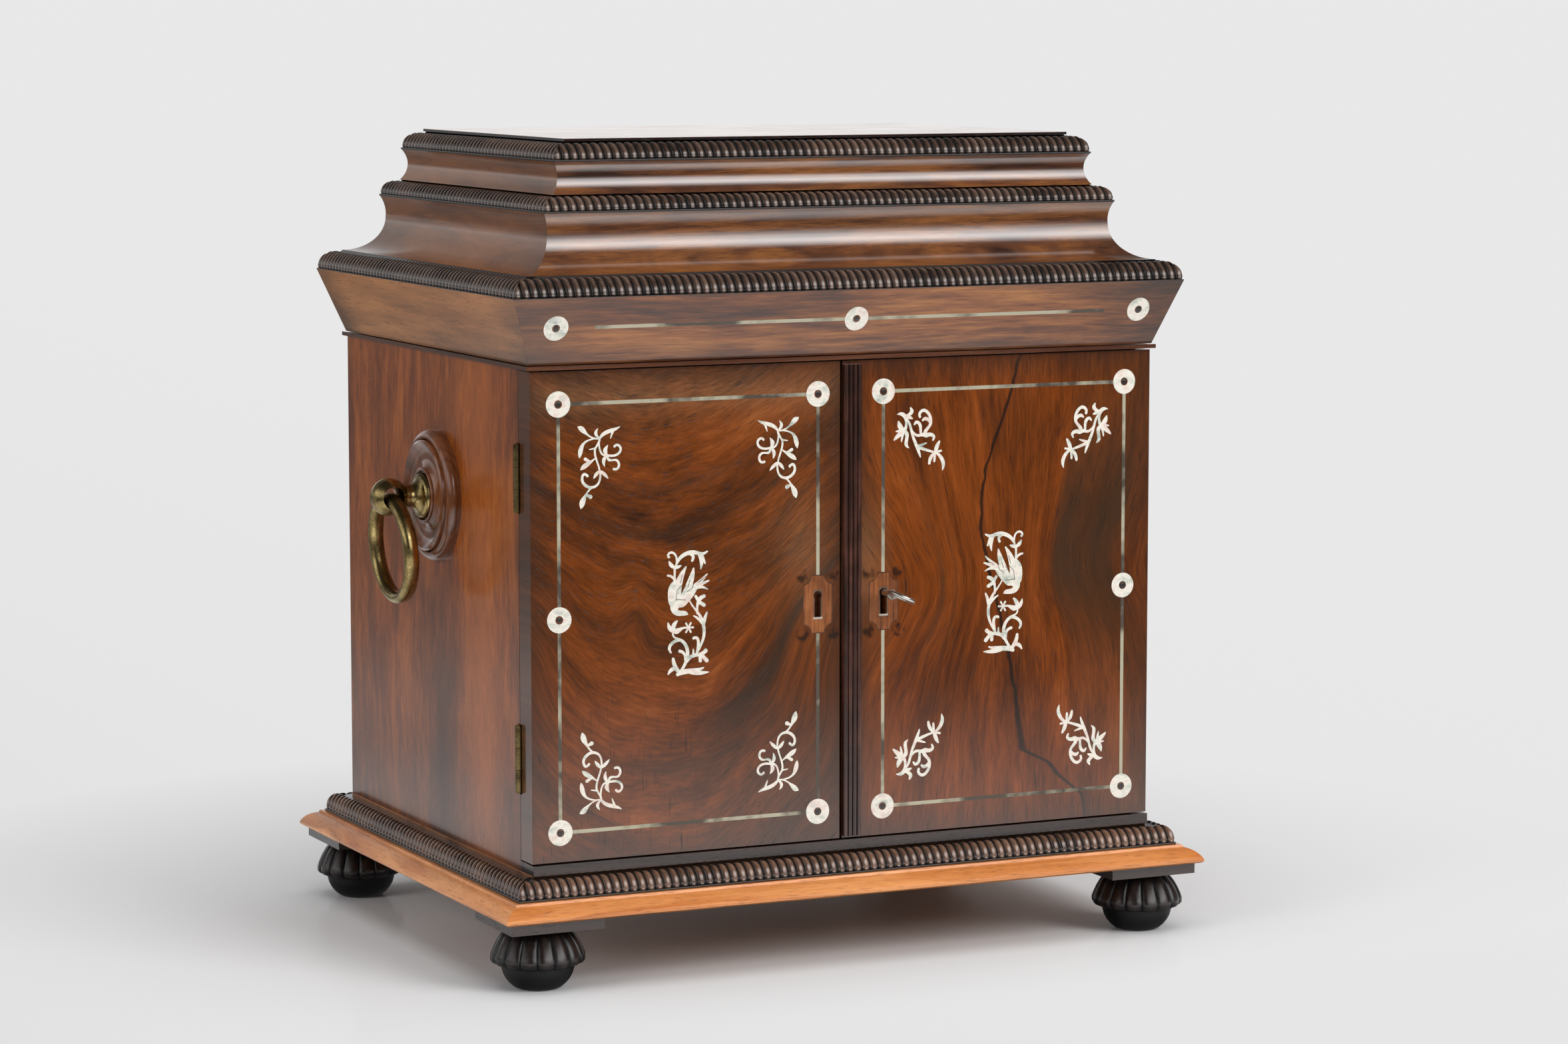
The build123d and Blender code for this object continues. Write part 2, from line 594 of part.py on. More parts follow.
def tray():
    x = (-TRAY_X, TRAY_X)
    inner_x = (-TRAY_X + TRAY_WALL, TRAY_X - TRAY_WALL)
    inner_y = (TRAY_Y[0] + TRAY_WALL, TRAY_Y[1] - TRAY_WALL)
    floor_z = TRAY_Z[0] + TRAY_FLOOR
    half = TRAY_DIVIDER / 2
    divided = (floor_z - 0.5, TRAY_Z[1] - 2)
    with BuildPart() as box:
        slab(x, TRAY_Y, TRAY_Z)
        slab(inner_x, inner_y, (floor_z, TRAY_Z[1] + 1), mode=Mode.SUBTRACT)
        slab((inner_x[0] - 1, inner_x[1] + 1), (TRAY_MIDDLE_Y - half, TRAY_MIDDLE_Y + half), divided)
        for place, part in TRAY_CROSS:
            run = (inner_y[0] - 1, TRAY_MIDDLE_Y) if part == "front" else (TRAY_MIDDLE_Y, inner_y[1] + 1)
            slab((place - half, place + half), run, divided)
        for side in (-1, 1):
            edge = side * TRAY_X
            rod(
                (edge - side * (TRAY_WALL + 1), TRAY_MIDDLE_Y + 30, TRAY_Z[1]),
                (edge + side, TRAY_MIDDLE_Y + 30, TRAY_Z[1]),
                FINGER_NOTCH_R,
                Mode.SUBTRACT,
            )
    keep(box, "tray")


# Lid

def slope_plane():
    """The front of the frieze, sloping out as it rises."""
    rise = FRIEZE_TOP - FRIEZE_BOTTOM
    run = FRIEZE_HEAD - FRIEZE_FOOT
    tilt = math.hypot(rise, run)
    normal = (0, -rise / tilt, -run / tilt)
    return Plane(origin=(0, FRONT - FRIEZE_FOOT, FRIEZE_BOTTOM), x_dir=(1, 0, 0), z_dir=normal)


def frieze_disc_spots():
    return [(x, FRIEZE_DISC_UP) for x in FRIEZE_DISCS]


def frieze_lines(stop_r=DISC_R):
    """The thin lines between the discs of the frieze, ending at the discs' rims.

    Their grooves run on into the discs' own pockets, with a smaller stop_r.
    """
    left, middle, right = FRIEZE_DISCS
    spans = (
        (left + DISC_R + FRIEZE_LINE_ENDS, middle - stop_r / 2),
        (middle + stop_r / 2, right - DISC_R - FRIEZE_LINE_ENDS),
    )
    for a, b in spans:
        with Locations(((a + b) / 2, FRIEZE_DISC_UP)):
            Rectangle(b - a, LINE_W)
    with Locations((middle, FRIEZE_DISC_UP)):
        Circle(stop_r, mode=Mode.SUBTRACT)


def disc_faces(spots):
    """Flat rings, each round a plug of the ground wood."""
    with Locations(*spots):
        Circle(DISC_R)
        Circle(DISC_HOLE_R, mode=Mode.SUBTRACT)


def lid_frieze():
    with BuildPart() as frieze:
        moulded_block((FRIEZE_FOOT, FRIEZE_BOTTOM), (((FRIEZE_HEAD, FRIEZE_TOP),),))
        cut_level_block((FRIEZE_BOTTOM - 1, FRIEZE_TOP + 1), -SIDE_T)
        mitre_cuts((FRIEZE_BOTTOM, FRIEZE_TOP), MITRE_REACH)
        for x in LID_HINGE_X:
            span = (x - LID_HINGE_L / 2, x + LID_HINGE_L / 2)
            bed = (FRIEZE_BOTTOM - 1, FRIEZE_BOTTOM + LEAF_T)
            slab(span, (LID_LEAF_IN, HALF_D + 4), bed, mode=Mode.SUBTRACT)
        with BuildSketch(slope_plane()):
            disc_faces(frieze_disc_spots())
        extrude(amount=-DISC_DEEP, mode=Mode.SUBTRACT)
        with BuildSketch(slope_plane()):
            frieze_lines(GROOVE_STOP_R)
        extrude(amount=-LINE_DEEP, mode=Mode.SUBTRACT)
    keep(frieze, "lid_frieze")


def frieze_discs():
    with BuildPart() as discs:
        with BuildSketch(slope_plane()):
            disc_faces(frieze_disc_spots())
        extrude(amount=-DISC_DEEP)
    keep(discs, "frieze_discs")


def frieze_stringing():
    with BuildPart() as lines:
        with BuildSketch(slope_plane()):
            frieze_lines()
        extrude(amount=-LINE_DEEP)
    keep(lines, "frieze_stringing")


def lid_rings():
    moulded_ring(
        "lid_lower_gadroon",
        (FRIEZE_HEAD, FRIEZE_TOP),
        (((8.9, 301.2), (2.5, COVE_BOTTOM)),),
        RING_LOW_INNER,
    )
    moulded_ring(
        "lid_middle_gadroon",
        (-12.0, COVE_TOP),
        (((-13.6, 334.9), (-19.2, SMALL_COVE_BOTTOM)),),
        RING_MIDDLE_INNER,
    )
    moulded_ring(
        "lid_top_gadroon",
        (-19.9, SMALL_COVE_TOP),
        (((-21.6, 356.6), (TOP_RIM, RIM_LEVEL)),),
        RING_TOP_INNER,
    )


def lid_large_cove():
    with BuildPart() as cove:
        moulded_block(
            (2.5, COVE_BOTTOM),
            (((-9.9, 309.6), (-14.2, 320.5)), ((-13.9, 325.4), (-12.2, COVE_TOP))),
        )
        level_block((FRIEZE_TOP, COVE_BOTTOM), RING_LOW_INNER)
    keep(cove, "lid_large_cove")


def lid_small_cove():
    with BuildPart() as cove:
        moulded_block(
            (-19.4, SMALL_COVE_BOTTOM),
            (((-22.3, 344.5), (-20.1, SMALL_COVE_TOP)),),
        )
        level_block((COVE_TOP, SMALL_COVE_BOTTOM), RING_MIDDLE_INNER)
    keep(cove, "lid_small_cove")


def lid_top_panel():
    with BuildPart() as panel:
        level_block((SMALL_COVE_TOP, RIM_LEVEL), RING_TOP_INNER)
        level_block((RIM_LEVEL, TOP_LEVEL), TOP_RIM)
    keep(panel, "lid_top_panel")


# Inlay

def stroke(points):
    """A ribbon of changing width along a smooth line, with rounded ends."""
    sides = {1: [], -1: []}
    for place, (x, y, width) in enumerate(points):
        before = points[max(place - 1, 0)]
        after = points[min(place + 1, len(points) - 1)]
        run = math.hypot(after[0] - before[0], after[1] - before[1])
        normal = ((before[1] - after[1]) / run, (after[0] - before[0]) / run)
        for side, edge in sides.items():
            reach = side * width / 2
            edge.append((x + normal[0] * reach, y + normal[1] * reach))
    with BuildLine() as outline:
        for edge in sides.values():
            if len(edge) == 2:
                Line(*edge)
            else:
                Spline(*edge)
        for end, inside in ((0, 1), (-1, -2)):
            tip, behind = points[end], points[inside]
            run = math.hypot(tip[0] - behind[0], tip[1] - behind[1])
            out = [(tip[axis] - behind[axis]) / run * tip[2] / 2 for axis in (0, 1)]
            ThreePointArc(sides[1][end], (tip[0] + out[0], tip[1] + out[1]), sides[-1][end])
    make_face(outline.edges())


def motif(strokes, at, flip_x, flip_z):
    """The strokes of one motif, placed and mirrored on the door."""
    for points in strokes:
        stroke([(at[0] + flip_x * x, at[1] + flip_z * z, width) for x, z, width in points])


def star_flower(at, flip_x):
    x, z = at[0] + flip_x * STAR_FLOWER[0], at[1] + STAR_FLOWER[1]
    for petal in range(STAR_PETALS):
        turn = 2 * math.pi * petal / STAR_PETALS
        tip = (x + STAR_R * math.cos(turn), z + STAR_R * math.sin(turn), STAR_PETAL_W)
        stroke([(x, z, STAR_PETAL_W * 0.7), tip])


def pearl_faces(side):
    """The sprays and the bird of one door."""
    if side == "left":
        sprays, places, bird, turn = SPRAY_LEFT, SPRAYS_LEFT_AT, BIRD_LEFT_AT, 1
    else:
        sprays, places, bird, turn = SPRAY_RIGHT, SPRAYS_RIGHT_AT, BIRD_RIGHT_AT, -1
    for x, z, flip_x, flip_z in places:
        motif(sprays, (x, z), flip_x, flip_z)
    motif(BIRD, bird, turn, 1)
    star_flower(bird, turn)


def disc_spots(side):
    """Middles of the discs of one door: none beside the escutcheon."""
    outer = -DISC_OUTER if side == "left" else DISC_OUTER
    inner = LEFT_INNER if side == "left" else RIGHT_INNER
    top, middle, bottom = DISC_ROWS
    return [(outer, top), (outer, middle), (outer, bottom), (inner, top), (inner, bottom)]


def keyhole_at(side):
    return LEFT_KEYHOLE if side == "left" else RIGHT_KEYHOLE


def line_faces(side, stop_r=DISC_R):
    """The frame of thin lines that joins the discs of one door."""
    (outer, top), (_, middle), (_, bottom), (inner, _), _ = disc_spots(side)
    plate_z = keyhole_at(side)[1]
    level = abs(inner - outer)
    for z in (top, bottom):
        with Locations(((outer + inner) / 2, z)):
            Rectangle(level, LINE_W)
    for x in (outer, inner):
        with Locations((x, (top + bottom) / 2)):
            Rectangle(LINE_W, top - bottom)
    with Locations((inner, plate_z)):
        Rectangle(ESCUTCHEON_W, ESCUTCHEON_H, mode=Mode.SUBTRACT)
    with Locations(*disc_spots(side)):
        Circle(stop_r, mode=Mode.SUBTRACT)


def plate_face(side):
    """An upright plate with a notch out of each corner."""
    x, z = keyhole_at(side)
    reach = (ESCUTCHEON_W / 2, ESCUTCHEON_H / 2)
    with Locations((x, z)):
        Rectangle(ESCUTCHEON_W, ESCUTCHEON_H)
    corners = [(x + a * reach[0], z + b * reach[1]) for a in (-1, 1) for b in (-1, 1)]
    with Locations(*corners):
        Circle(ESCUTCHEON_NOTCH[0], mode=Mode.SUBTRACT)


def keyhole_face(side):
    x, z = keyhole_at(side)
    top = z + KEYHOLE_TALL / 2
    bottom = z - KEYHOLE_TALL / 2
    eye = top - KEYHOLE_R
    with Locations((x, eye)):
        Circle(KEYHOLE_R)
    with Locations((x, (eye + bottom) / 2)):
        Rectangle(KEYHOLE_SLOT, eye - bottom)


# Doors

def door(side):
    x = LEFT_DOOR if side == "left" else RIGHT_DOOR
    turn = -1 if side == "left" else 1
    keyhole_deep = BLIND_KEYHOLE if side == "left" else DOOR_T
    pockets = (
        (lambda: disc_faces(disc_spots(side)), DISC_DEEP),
        (lambda: line_faces(side, GROOVE_STOP_R), LINE_DEEP),
        (lambda: pearl_faces(side), PEARL_DEEP),
        (lambda: plate_face(side), ESCUTCHEON_T),
        (lambda: keyhole_face(side), keyhole_deep),
    )
    with BuildPart() as panel:
        slab(x, (FRONT, DOOR_BACK), (DOOR_BOTTOM, DOOR_TOP))
        for z in DOOR_HINGES:
            leaf_x = sorted((turn * DOOR_LEAF_IN, turn * (HALF_W + 1)))
            slab(leaf_x, (DOOR_BACK - LEAF_T, DOOR_BACK + 1), z, mode=Mode.SUBTRACT)
            barrel_notch(turn, z)
        if side == "right":
            slab(LOCK_X, (DOOR_BACK - LOCK_T, DOOR_BACK + 1), LOCK_Z, mode=Mode.SUBTRACT)
        else:
            strike_pocket()
        for draw, deep in pockets:
            with BuildSketch(DOOR_FACE):
                draw()
            extrude(amount=-deep, mode=Mode.SUBTRACT)
    keep(panel, f"{side}_door")


def bolt_y():
    middle = DOOR_BACK - LOCK_T / 2
    return (middle - BOLT_T / 2, middle + BOLT_T / 2)


def grown(span, gap):
    return (span[0] - gap, span[1] + gap)


def strike_pocket():
    """The slot in the left door's edge that takes the bolt."""
    x = (LEFT_DOOR[1] - BOLT_THROW, LEFT_DOOR[1] + 1)
    slab(x, grown(bolt_y(), 0.6), grown(BOLT_Z, 0.6), mode=Mode.SUBTRACT)


def inlay(label, draw, deep):
    with BuildPart() as piece:
        with BuildSketch(DOOR_FACE):
            draw()
        extrude(amount=-deep)
    keep(piece, label)


def escutcheon(side):
    def draw():
        plate_face(side)
        x, z = keyhole_at(side)
        eye = z + KEYHOLE_TALL / 2 - KEYHOLE_R
        with Locations((x, eye)):
            Circle(KEYHOLE_R, mode=Mode.SUBTRACT)
        with Locations((x, (eye + z - KEYHOLE_TALL / 2) / 2)):
            Rectangle(KEYHOLE_SLOT, eye - z + KEYHOLE_TALL / 2, mode=Mode.SUBTRACT)

    inlay(f"{side}_escutcheon", draw, ESCUTCHEON_T)


def meeting_strip():
    """The reeded strip down the meeting edge of the right door."""
    reed = STRIP_W / STRIP_REEDS
    left = RIGHT_DOOR[0]
    with BuildPart() as strip:
        with BuildSketch(Plane.XY.offset(STRIP_Z[0])):
            with BuildLine():
                root = FRONT - STRIP_OUT + reed / 2
                Line((left, FRONT), (left, root))
                for place in range(STRIP_REEDS):
                    start = left + place * reed
                    ThreePointArc((start, root), (start + reed / 2, root - reed / 2), (start + reed, root))
                Line((left + STRIP_W, root), (left + STRIP_W, FRONT))
                Line((left + STRIP_W, FRONT), (left, FRONT))
            make_face()
        extrude(amount=STRIP_Z[1] - STRIP_Z[0])
    keep(strip, "meeting_strip")


# Lock and key

def lock_case():
    y = (DOOR_BACK - LOCK_T, DOOR_BACK)
    with BuildPart() as case:
        slab(LOCK_X, y, LOCK_Z)
        slab(grown(LOCK_X, -LOCK_SKIN), grown(y, -LOCK_SKIN), grown(LOCK_Z, -LOCK_SKIN), mode=Mode.SUBTRACT)
        mouth = (LOCK_X[0] - 1, LOCK_X[0] + 2)
        slab(mouth, grown(bolt_y(), BOLT_GAP), grown(BOLT_Z, BOLT_GAP), mode=Mode.SUBTRACT)
        with BuildSketch(Plane(origin=(0, y[0], 0), x_dir=(1, 0, 0), z_dir=(0, -1, 0))):
            keyhole_face("right")
        extrude(amount=-LOCK_SKIN, mode=Mode.SUBTRACT)
    keep(case, "lock_case")


def lock_bolt():
    talon = (KEY_AXIS[0] + BOLT_TALON[0], KEY_AXIS[0] + BOLT_TALON[1])
    talon_z = (BOLT_Z[0] - 1, KEY_AXIS[1] + KEY_BIT[0] + 0.8)
    with BuildPart() as bolt:
        slab(BOLT_X, bolt_y(), BOLT_Z)
        slab(talon, grown(bolt_y(), 1), talon_z, mode=Mode.SUBTRACT)
    keep(bolt, "lock_bolt")


def key():
    x, z = KEY_AXIS
    bow_y = FRONT - BOW_OUT
    tilt = math.radians(BOW_TILT)
    across = (math.cos(tilt), 0, math.sin(tilt))
    bow_normal = (-math.sin(tilt), 0, math.cos(tilt))
    shank_end = DOOR_BACK - LOCK_SKIN - 0.6
    bit_long, bit_deep, bit_t = KEY_BIT
    with BuildPart() as piece:
        with BuildSketch(Plane(origin=(x, bow_y, z), x_dir=across, z_dir=(0, -1, 0))):
            with Locations((BOW_R, 0)):
                Circle(BOW_WIRE_R)
        revolve(axis=Axis((x, bow_y, z), bow_normal))
        rod((x, shank_end, z), (x, bow_y + BOW_R, z), KEY_R)
        rod((x, FRONT - 8.4, z), (x, FRONT - 7.2, z), KEY_R + 0.7)
        blade = Plane(origin=(x, shank_end, z), x_dir=across, z_dir=(0, -1, 0))
        with BuildSketch(blade):
            with Locations((bit_long / 2, 0)):
                Rectangle(bit_long, bit_t)
        extrude(amount=bit_deep)
    keep(piece, "key")


# Hinges

def knuckle(axis_start, axis_end, bore):
    rod(axis_start, axis_end, BARREL_R)
    rod(axis_start, axis_end, bore, Mode.SUBTRACT)


def thirds(span):
    """Three knuckles along a hinge, with a small gap between them."""
    step = (span[1] - span[0]) / 3
    cuts = [span[0] + place * step for place in range(4)]
    first = (cuts[0], cuts[1] - KNUCKLE_GAP)
    middle = (cuts[1] + KNUCKLE_GAP, cuts[2] - KNUCKLE_GAP)
    last = (cuts[2] + KNUCKLE_GAP, cuts[3])
    return first, middle, last


def door_leaf(side, z, inner, y, knuckles, bore):
    """One leaf of a door hinge, with its own knuckles."""
    edge = side * (PIN_X - BARREL_NOTCH_R)
    slab(sorted((side * inner, edge)), y, z)
    for span in knuckles:
        slab(sorted((edge, side * PIN_X)), y, span)
        rod((side * PIN_X, PIN_Y, span[0]), (side * PIN_X, PIN_Y, span[1]), BARREL_R)
        rod((side * PIN_X, PIN_Y, span[0]), (side * PIN_X, PIN_Y, span[1]), bore, Mode.SUBTRACT)


def lid_leaf(span, z, knuckles, bore):
    edge = LID_AXIS_Y - BARREL_NOTCH_R
    slab(span, (LID_LEAF_IN, edge), z)
    for part in knuckles:
        start = (part[0], LID_AXIS_Y, LID_AXIS_Z)
        end = (part[1], LID_AXIS_Y, LID_AXIS_Z)
        slab(part, (edge, LID_AXIS_Y), z)
        rod(start, end, BARREL_R)
        rod(start, end, bore, Mode.SUBTRACT)


def lid_spans():
    return [(x - LID_HINGE_L / 2, x + LID_HINGE_L / 2) for x in LID_HINGE_X]


def case_hinge_leaves():
    with BuildPart() as leaves:
        for side in (-1, 1):
            for z in DOOR_HINGES:
                first, _, last = thirds(z)
                y = (CASE_FRONT, CASE_FRONT + LEAF_T)
                door_leaf(side, z, CASE_LEAF_IN, y, (first, last), PIN_R)
        for span in lid_spans():
            first, _, last = thirds(span)
            lid_leaf(span, (LIP_TOP - LEAF_T, LIP_TOP), (first, last), PIN_R)
    keep(leaves, "case_hinge_leaves")


def door_hinge_leaves(side):
    turn = -1 if side == "left" else 1
    with BuildPart() as leaves:
        for z in DOOR_HINGES:
            y = (DOOR_BACK - LEAF_T, DOOR_BACK)
            door_leaf(turn, z, DOOR_LEAF_IN, y, (thirds(z)[1],), RUN_R)
    keep(leaves, f"{side}_door_hinge_leaves")


def lid_hinge_leaves():
    with BuildPart() as leaves:
        for span in lid_spans():
            lid_leaf(span, (FRIEZE_BOTTOM, FRIEZE_BOTTOM + LEAF_T), (thirds(span)[1],), RUN_R)
    keep(leaves, "lid_hinge_leaves")


def hinge_pins():
    head_r, head_t = PIN_HEAD
    with BuildPart() as pins:
        for side in (-1, 1):
            for z in DOOR_HINGES:
                x = side * PIN_X
                rod((x, PIN_Y, z[0] - head_t), (x, PIN_Y, z[1] + head_t), PIN_R)
                rod((x, PIN_Y, z[0] - head_t), (x, PIN_Y, z[0]), head_r)
                rod((x, PIN_Y, z[1]), (x, PIN_Y, z[1] + head_t), head_r)
        for a, b in lid_spans():
            rod((a - head_t, LID_AXIS_Y, LID_AXIS_Z), (b + head_t, LID_AXIS_Y, LID_AXIS_Z), PIN_R)
            rod((a - head_t, LID_AXIS_Y, LID_AXIS_Z), (a, LID_AXIS_Y, LID_AXIS_Z), head_r)
            rod((b, LID_AXIS_Y, LID_AXIS_Z), (b + head_t, LID_AXIS_Y, LID_AXIS_Z), head_r)
    keep(pins, "hinge_pins")


# Handles

def turned_section(side, outline):
    """Half of a turned piece, drawn as radius against height off the side."""
    for run in outline:
        points = [(side * (HALF_W + height), EYE_Z + radius) for radius, height in run]
        if len(points) == 2:
            Line(*points)
        else:
            ThreePointArc(*points)


def handle_axis():
    return Axis((0, HANDLE_Y, EYE_Z), (1, 0, 0))


def boss(label, side):
    outline = (
        ((EYE_SHANK_R, 0), (BOSS_R, 0)),
        ((BOSS_R, 0), (BOSS_R, 1.6)),
        ((BOSS_R, 1.6), (27.6, 5.4), (25.4, 5.9)),
        ((25.4, 5.9), (24.9, 4.6)),
        ((24.9, 4.6), (24.6, 7.0)),
        ((24.6, 7.0), (23.6, 7.6)),
        ((23.6, 7.6), (17.6, 4.9), (12.4, 6.6)),
        ((12.4, 6.6), (11.8, 7.9), (11.0, 7.0)),
        ((11.0, 7.0), (10.8, BOSS_RECESS)),
        ((10.8, BOSS_RECESS), (EYE_SHANK_R, BOSS_RECESS)),
        ((EYE_SHANK_R, BOSS_RECESS), (EYE_SHANK_R, 0)),
    )
    with BuildPart() as turned:
        with BuildSketch(Plane.XZ.offset(-HANDLE_Y)):
            with BuildLine():
                turned_section(side, outline)
            make_face()
        revolve(axis=handle_axis())
    keep(turned, label)


def ring_eyes():
    """Brass eyes with a collar, each with a flared hole that its ring runs in."""
    shank_end = -(SIDE_T - 0.4)
    outline = (
        ((0, shank_end), (EYE_SHANK_R, shank_end)),
        ((EYE_SHANK_R, shank_end), (EYE_SHANK_R, BOSS_RECESS)),
        ((EYE_SHANK_R, BOSS_RECESS), (9.6, BOSS_RECESS)),
        ((9.6, BOSS_RECESS), (10.1, 7.8), (9.0, 9.4)),
        ((9.0, 9.4), (6.2, 10.9), (4.9, 14.0)),
        ((4.9, 14.0), (4.9, EYE_OUT)),
        ((4.9, EYE_OUT), (0, EYE_OUT)),
        ((0, EYE_OUT), (0, shank_end)),
    )
    with BuildPart() as eyes:
        for side in (-1, 1):
            with BuildSketch(Plane.XZ.offset(-HANDLE_Y)):
                with BuildLine():
                    turned_section(side, outline)
                make_face()
            revolve(axis=handle_axis())
            with Locations((side * (HALF_W + EYE_OUT), HANDLE_Y, EYE_Z)):
                Sphere(EYE_R)
            flared_hole(side)
    keep(eyes, "ring_eyes")


def flared_hole(side):
    x = side * (HALF_W + EYE_OUT)
    throat = RING_HALF_WIDE + RING_GAP
    reach = EYE_R + 1
    flare = throat + reach**2 / (2 * RING_R) + RING_GAP
    near, far = HANDLE_Y - reach, HANDLE_Y + reach
    with BuildSketch(Plane.XY.offset(EYE_Z)) as section:
        with BuildLine():
            ThreePointArc((x + flare, near), (x + throat, HANDLE_Y), (x + flare, far))
            Polyline((x + flare, far), (x, far), (x, near), (x + flare, near))
        make_face()
    revolve(section.sketch, axis=Axis((x, HANDLE_Y, EYE_Z), (0, 1, 0)), mode=Mode.SUBTRACT)


def handle_ring(label, side):
    """A ring of oval section, resting in its eye, with its foot leaning in towards the case."""
    lean = math.radians(RING_LEAN)
    down = (-side * math.sin(lean), -math.cos(lean))
    across = (math.cos(lean), 0, -side * math.sin(lean))
    x = side * (HALF_W + EYE_OUT)
    top = (x + down[0] * RING_DROP, HANDLE_Y, EYE_Z + down[1] * RING_DROP)
    middle = (top[0] + down[0] * RING_R, HANDLE_Y, top[2] + down[1] * RING_R)
    with BuildPart() as ring:
        with BuildSketch(Plane(origin=top, x_dir=across, z_dir=(0, -1, 0))):
            Ellipse(RING_HALF_WIDE, RING_HALF_DEEP)
        revolve(axis=Axis(middle, across))
    keep(ring, label)


def eye_nuts():
    with BuildPart() as nuts:
        for side in (-1, 1):
            seat = side * (HALF_W - SIDE_T + NUT_POCKET[1])
            with BuildSketch(Plane(origin=(seat, HANDLE_Y, EYE_Z), z_dir=(-side, 0, 0))):
                RegularPolygon(NUT_R, 6)
                Circle(EYE_SHANK_R, mode=Mode.SUBTRACT)
            extrude(amount=NUT_T)
    keep(nuts, "eye_nuts")


def build():
    base_board()
    base_gadroon()
    plinth_board()
    foot_pads()
    for across, side_x in (("left", -1), ("right", 1)):
        for along, side_y in (("front", -1), ("back", 1)):
            foot(f"foot_{along}_{across}", side_x * FOOT_AT[0], side_y * FOOT_AT[1])
        side_panel(f"{across}_side", side_x)
        boss(f"{across}_boss", side_x)
        handle_ring(f"{across}_ring", side_x)
        door(across)
        inlay(f"{across}_door_discs", lambda: disc_faces(disc_spots(across)), DISC_DEEP)
        inlay(f"{across}_door_stringing", lambda: line_faces(across), LINE_DEEP)
        inlay(f"{across}_door_pearl", lambda: pearl_faces(across), PEARL_DEEP)
        escutcheon(across)
        door_hinge_leaves(across)
        for row in bay_rows():
            drawer(across, row)
    inner_board("carcass_bottom", (CASE_FRONT, BACK_FACE), (PLINTH_TOP, DRAWER_BASE))
    inner_board("back_panel", (BACK_FACE, HALF_D), (PLINTH_TOP, LIP_BOTTOM))
    inner_board("well_floor", (CASE_FRONT, BACK_FACE), WELL_FLOOR)
    inner_board("well_front_rail", (CASE_FRONT, RAIL_BACK), (WELL_FLOOR[1], LIP_BOTTOM))
    centre_divider()
    drawer_shelves()
    tray_bearers()
    tray()
    top_lip()
    ring_eyes()
    eye_nuts()
    meeting_strip()
    lock_case()
    lock_bolt()
    key()
    case_hinge_leaves()
    lid_hinge_leaves()
    hinge_pins()
    lid_frieze()
    frieze_discs()
    frieze_stringing()
    lid_rings()
    lid_large_cove()
    lid_small_cove()
    lid_top_panel()


os.makedirs("parts", exist_ok=True)
build()
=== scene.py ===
import math

import bmesh
import bpy
from mathutils import Matrix, Vector


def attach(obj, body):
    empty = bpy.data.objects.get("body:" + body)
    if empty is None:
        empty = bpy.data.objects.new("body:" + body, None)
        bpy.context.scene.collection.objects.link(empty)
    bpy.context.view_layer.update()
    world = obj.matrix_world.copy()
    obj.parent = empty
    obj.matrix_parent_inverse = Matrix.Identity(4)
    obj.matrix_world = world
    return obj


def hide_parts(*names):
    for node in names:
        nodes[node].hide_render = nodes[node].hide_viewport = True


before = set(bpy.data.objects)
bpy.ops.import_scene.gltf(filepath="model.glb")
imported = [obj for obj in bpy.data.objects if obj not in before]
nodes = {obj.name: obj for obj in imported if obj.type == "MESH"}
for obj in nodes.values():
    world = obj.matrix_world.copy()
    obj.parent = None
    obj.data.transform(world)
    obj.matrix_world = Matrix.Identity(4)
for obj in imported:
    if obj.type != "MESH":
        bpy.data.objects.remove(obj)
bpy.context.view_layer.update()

# Metres, unless a heading or a factor of MM says otherwise. The front faces -Y, and the floor is at height 0.
MM = 0.001
HALF_W = 0.150
HALF_D = 0.113
MERGE = 0.00001

# Camera, as fitted to the photograph
PHOTO_WIDTH = 2355
FOCAL_PIXELS = 6750
SENSOR_MM = 36
CAMERA_AT = (-0.8558, -1.8655, 0.4186)
CAMERA_DOWN = 6.59
CAMERA_TURN = 25.19


# Shader maths

def tone(code):
    """A colour written as six hex digits, as the linear colour that shaders use."""
    parts = [int(code[place:place + 2], 16) / 255 for place in (0, 2, 4)]
    return tuple(c / 12.92 if c <= 0.04045 else ((c + 0.055) / 1.055) ** 2.4 for c in parts) + (1.0,)


def tones(*codes):
    return [tone(code) for code in codes]


class Value:
    """One output of a shader node. Sums and products of values add their Math nodes."""

    def __init__(self, shader, socket):
        self.shader = shader
        self.socket = socket

    def out(self, name):
        return Value(self.shader, self.socket.node.outputs[name])

    def math(self, operation, *others):
        inputs = dict(enumerate((self, *others)))
        return self.shader.node("ShaderNodeMath", {"operation": operation}, inputs)

    def __add__(self, other):
        return self.math("ADD", other)

    def __sub__(self, other):
        return self.math("SUBTRACT", other)

    def __rsub__(self, other):
        return self * -1 + other

    def __mul__(self, other):
        return self.math("MULTIPLY", other)

    def __truediv__(self, other):
        return self.math("DIVIDE", other)

    def __pow__(self, power):
        return self.math("POWER", power)

    def absolute(self):
        return self.math("ABSOLUTE")

    def root(self):
        return self.math("SQRT")

    def least(self, other):
        return self.math("MINIMUM", other)

    def most(self, other):
        return self.math("MAXIMUM", other)

    def clamped(self):
        return self.most(0.0).least(1.0)

    def step(self, low, high):
        """0 below low, 1 above high, straight between."""
        return ((self - low) * (1 / (high - low))).clamped()

    def bell(self, middle, width):
        """1 at middle, falling smoothly to a quarter one width away on either side."""
        away = (self - middle) * (1 / width)
        return (away * away + 1) ** -2


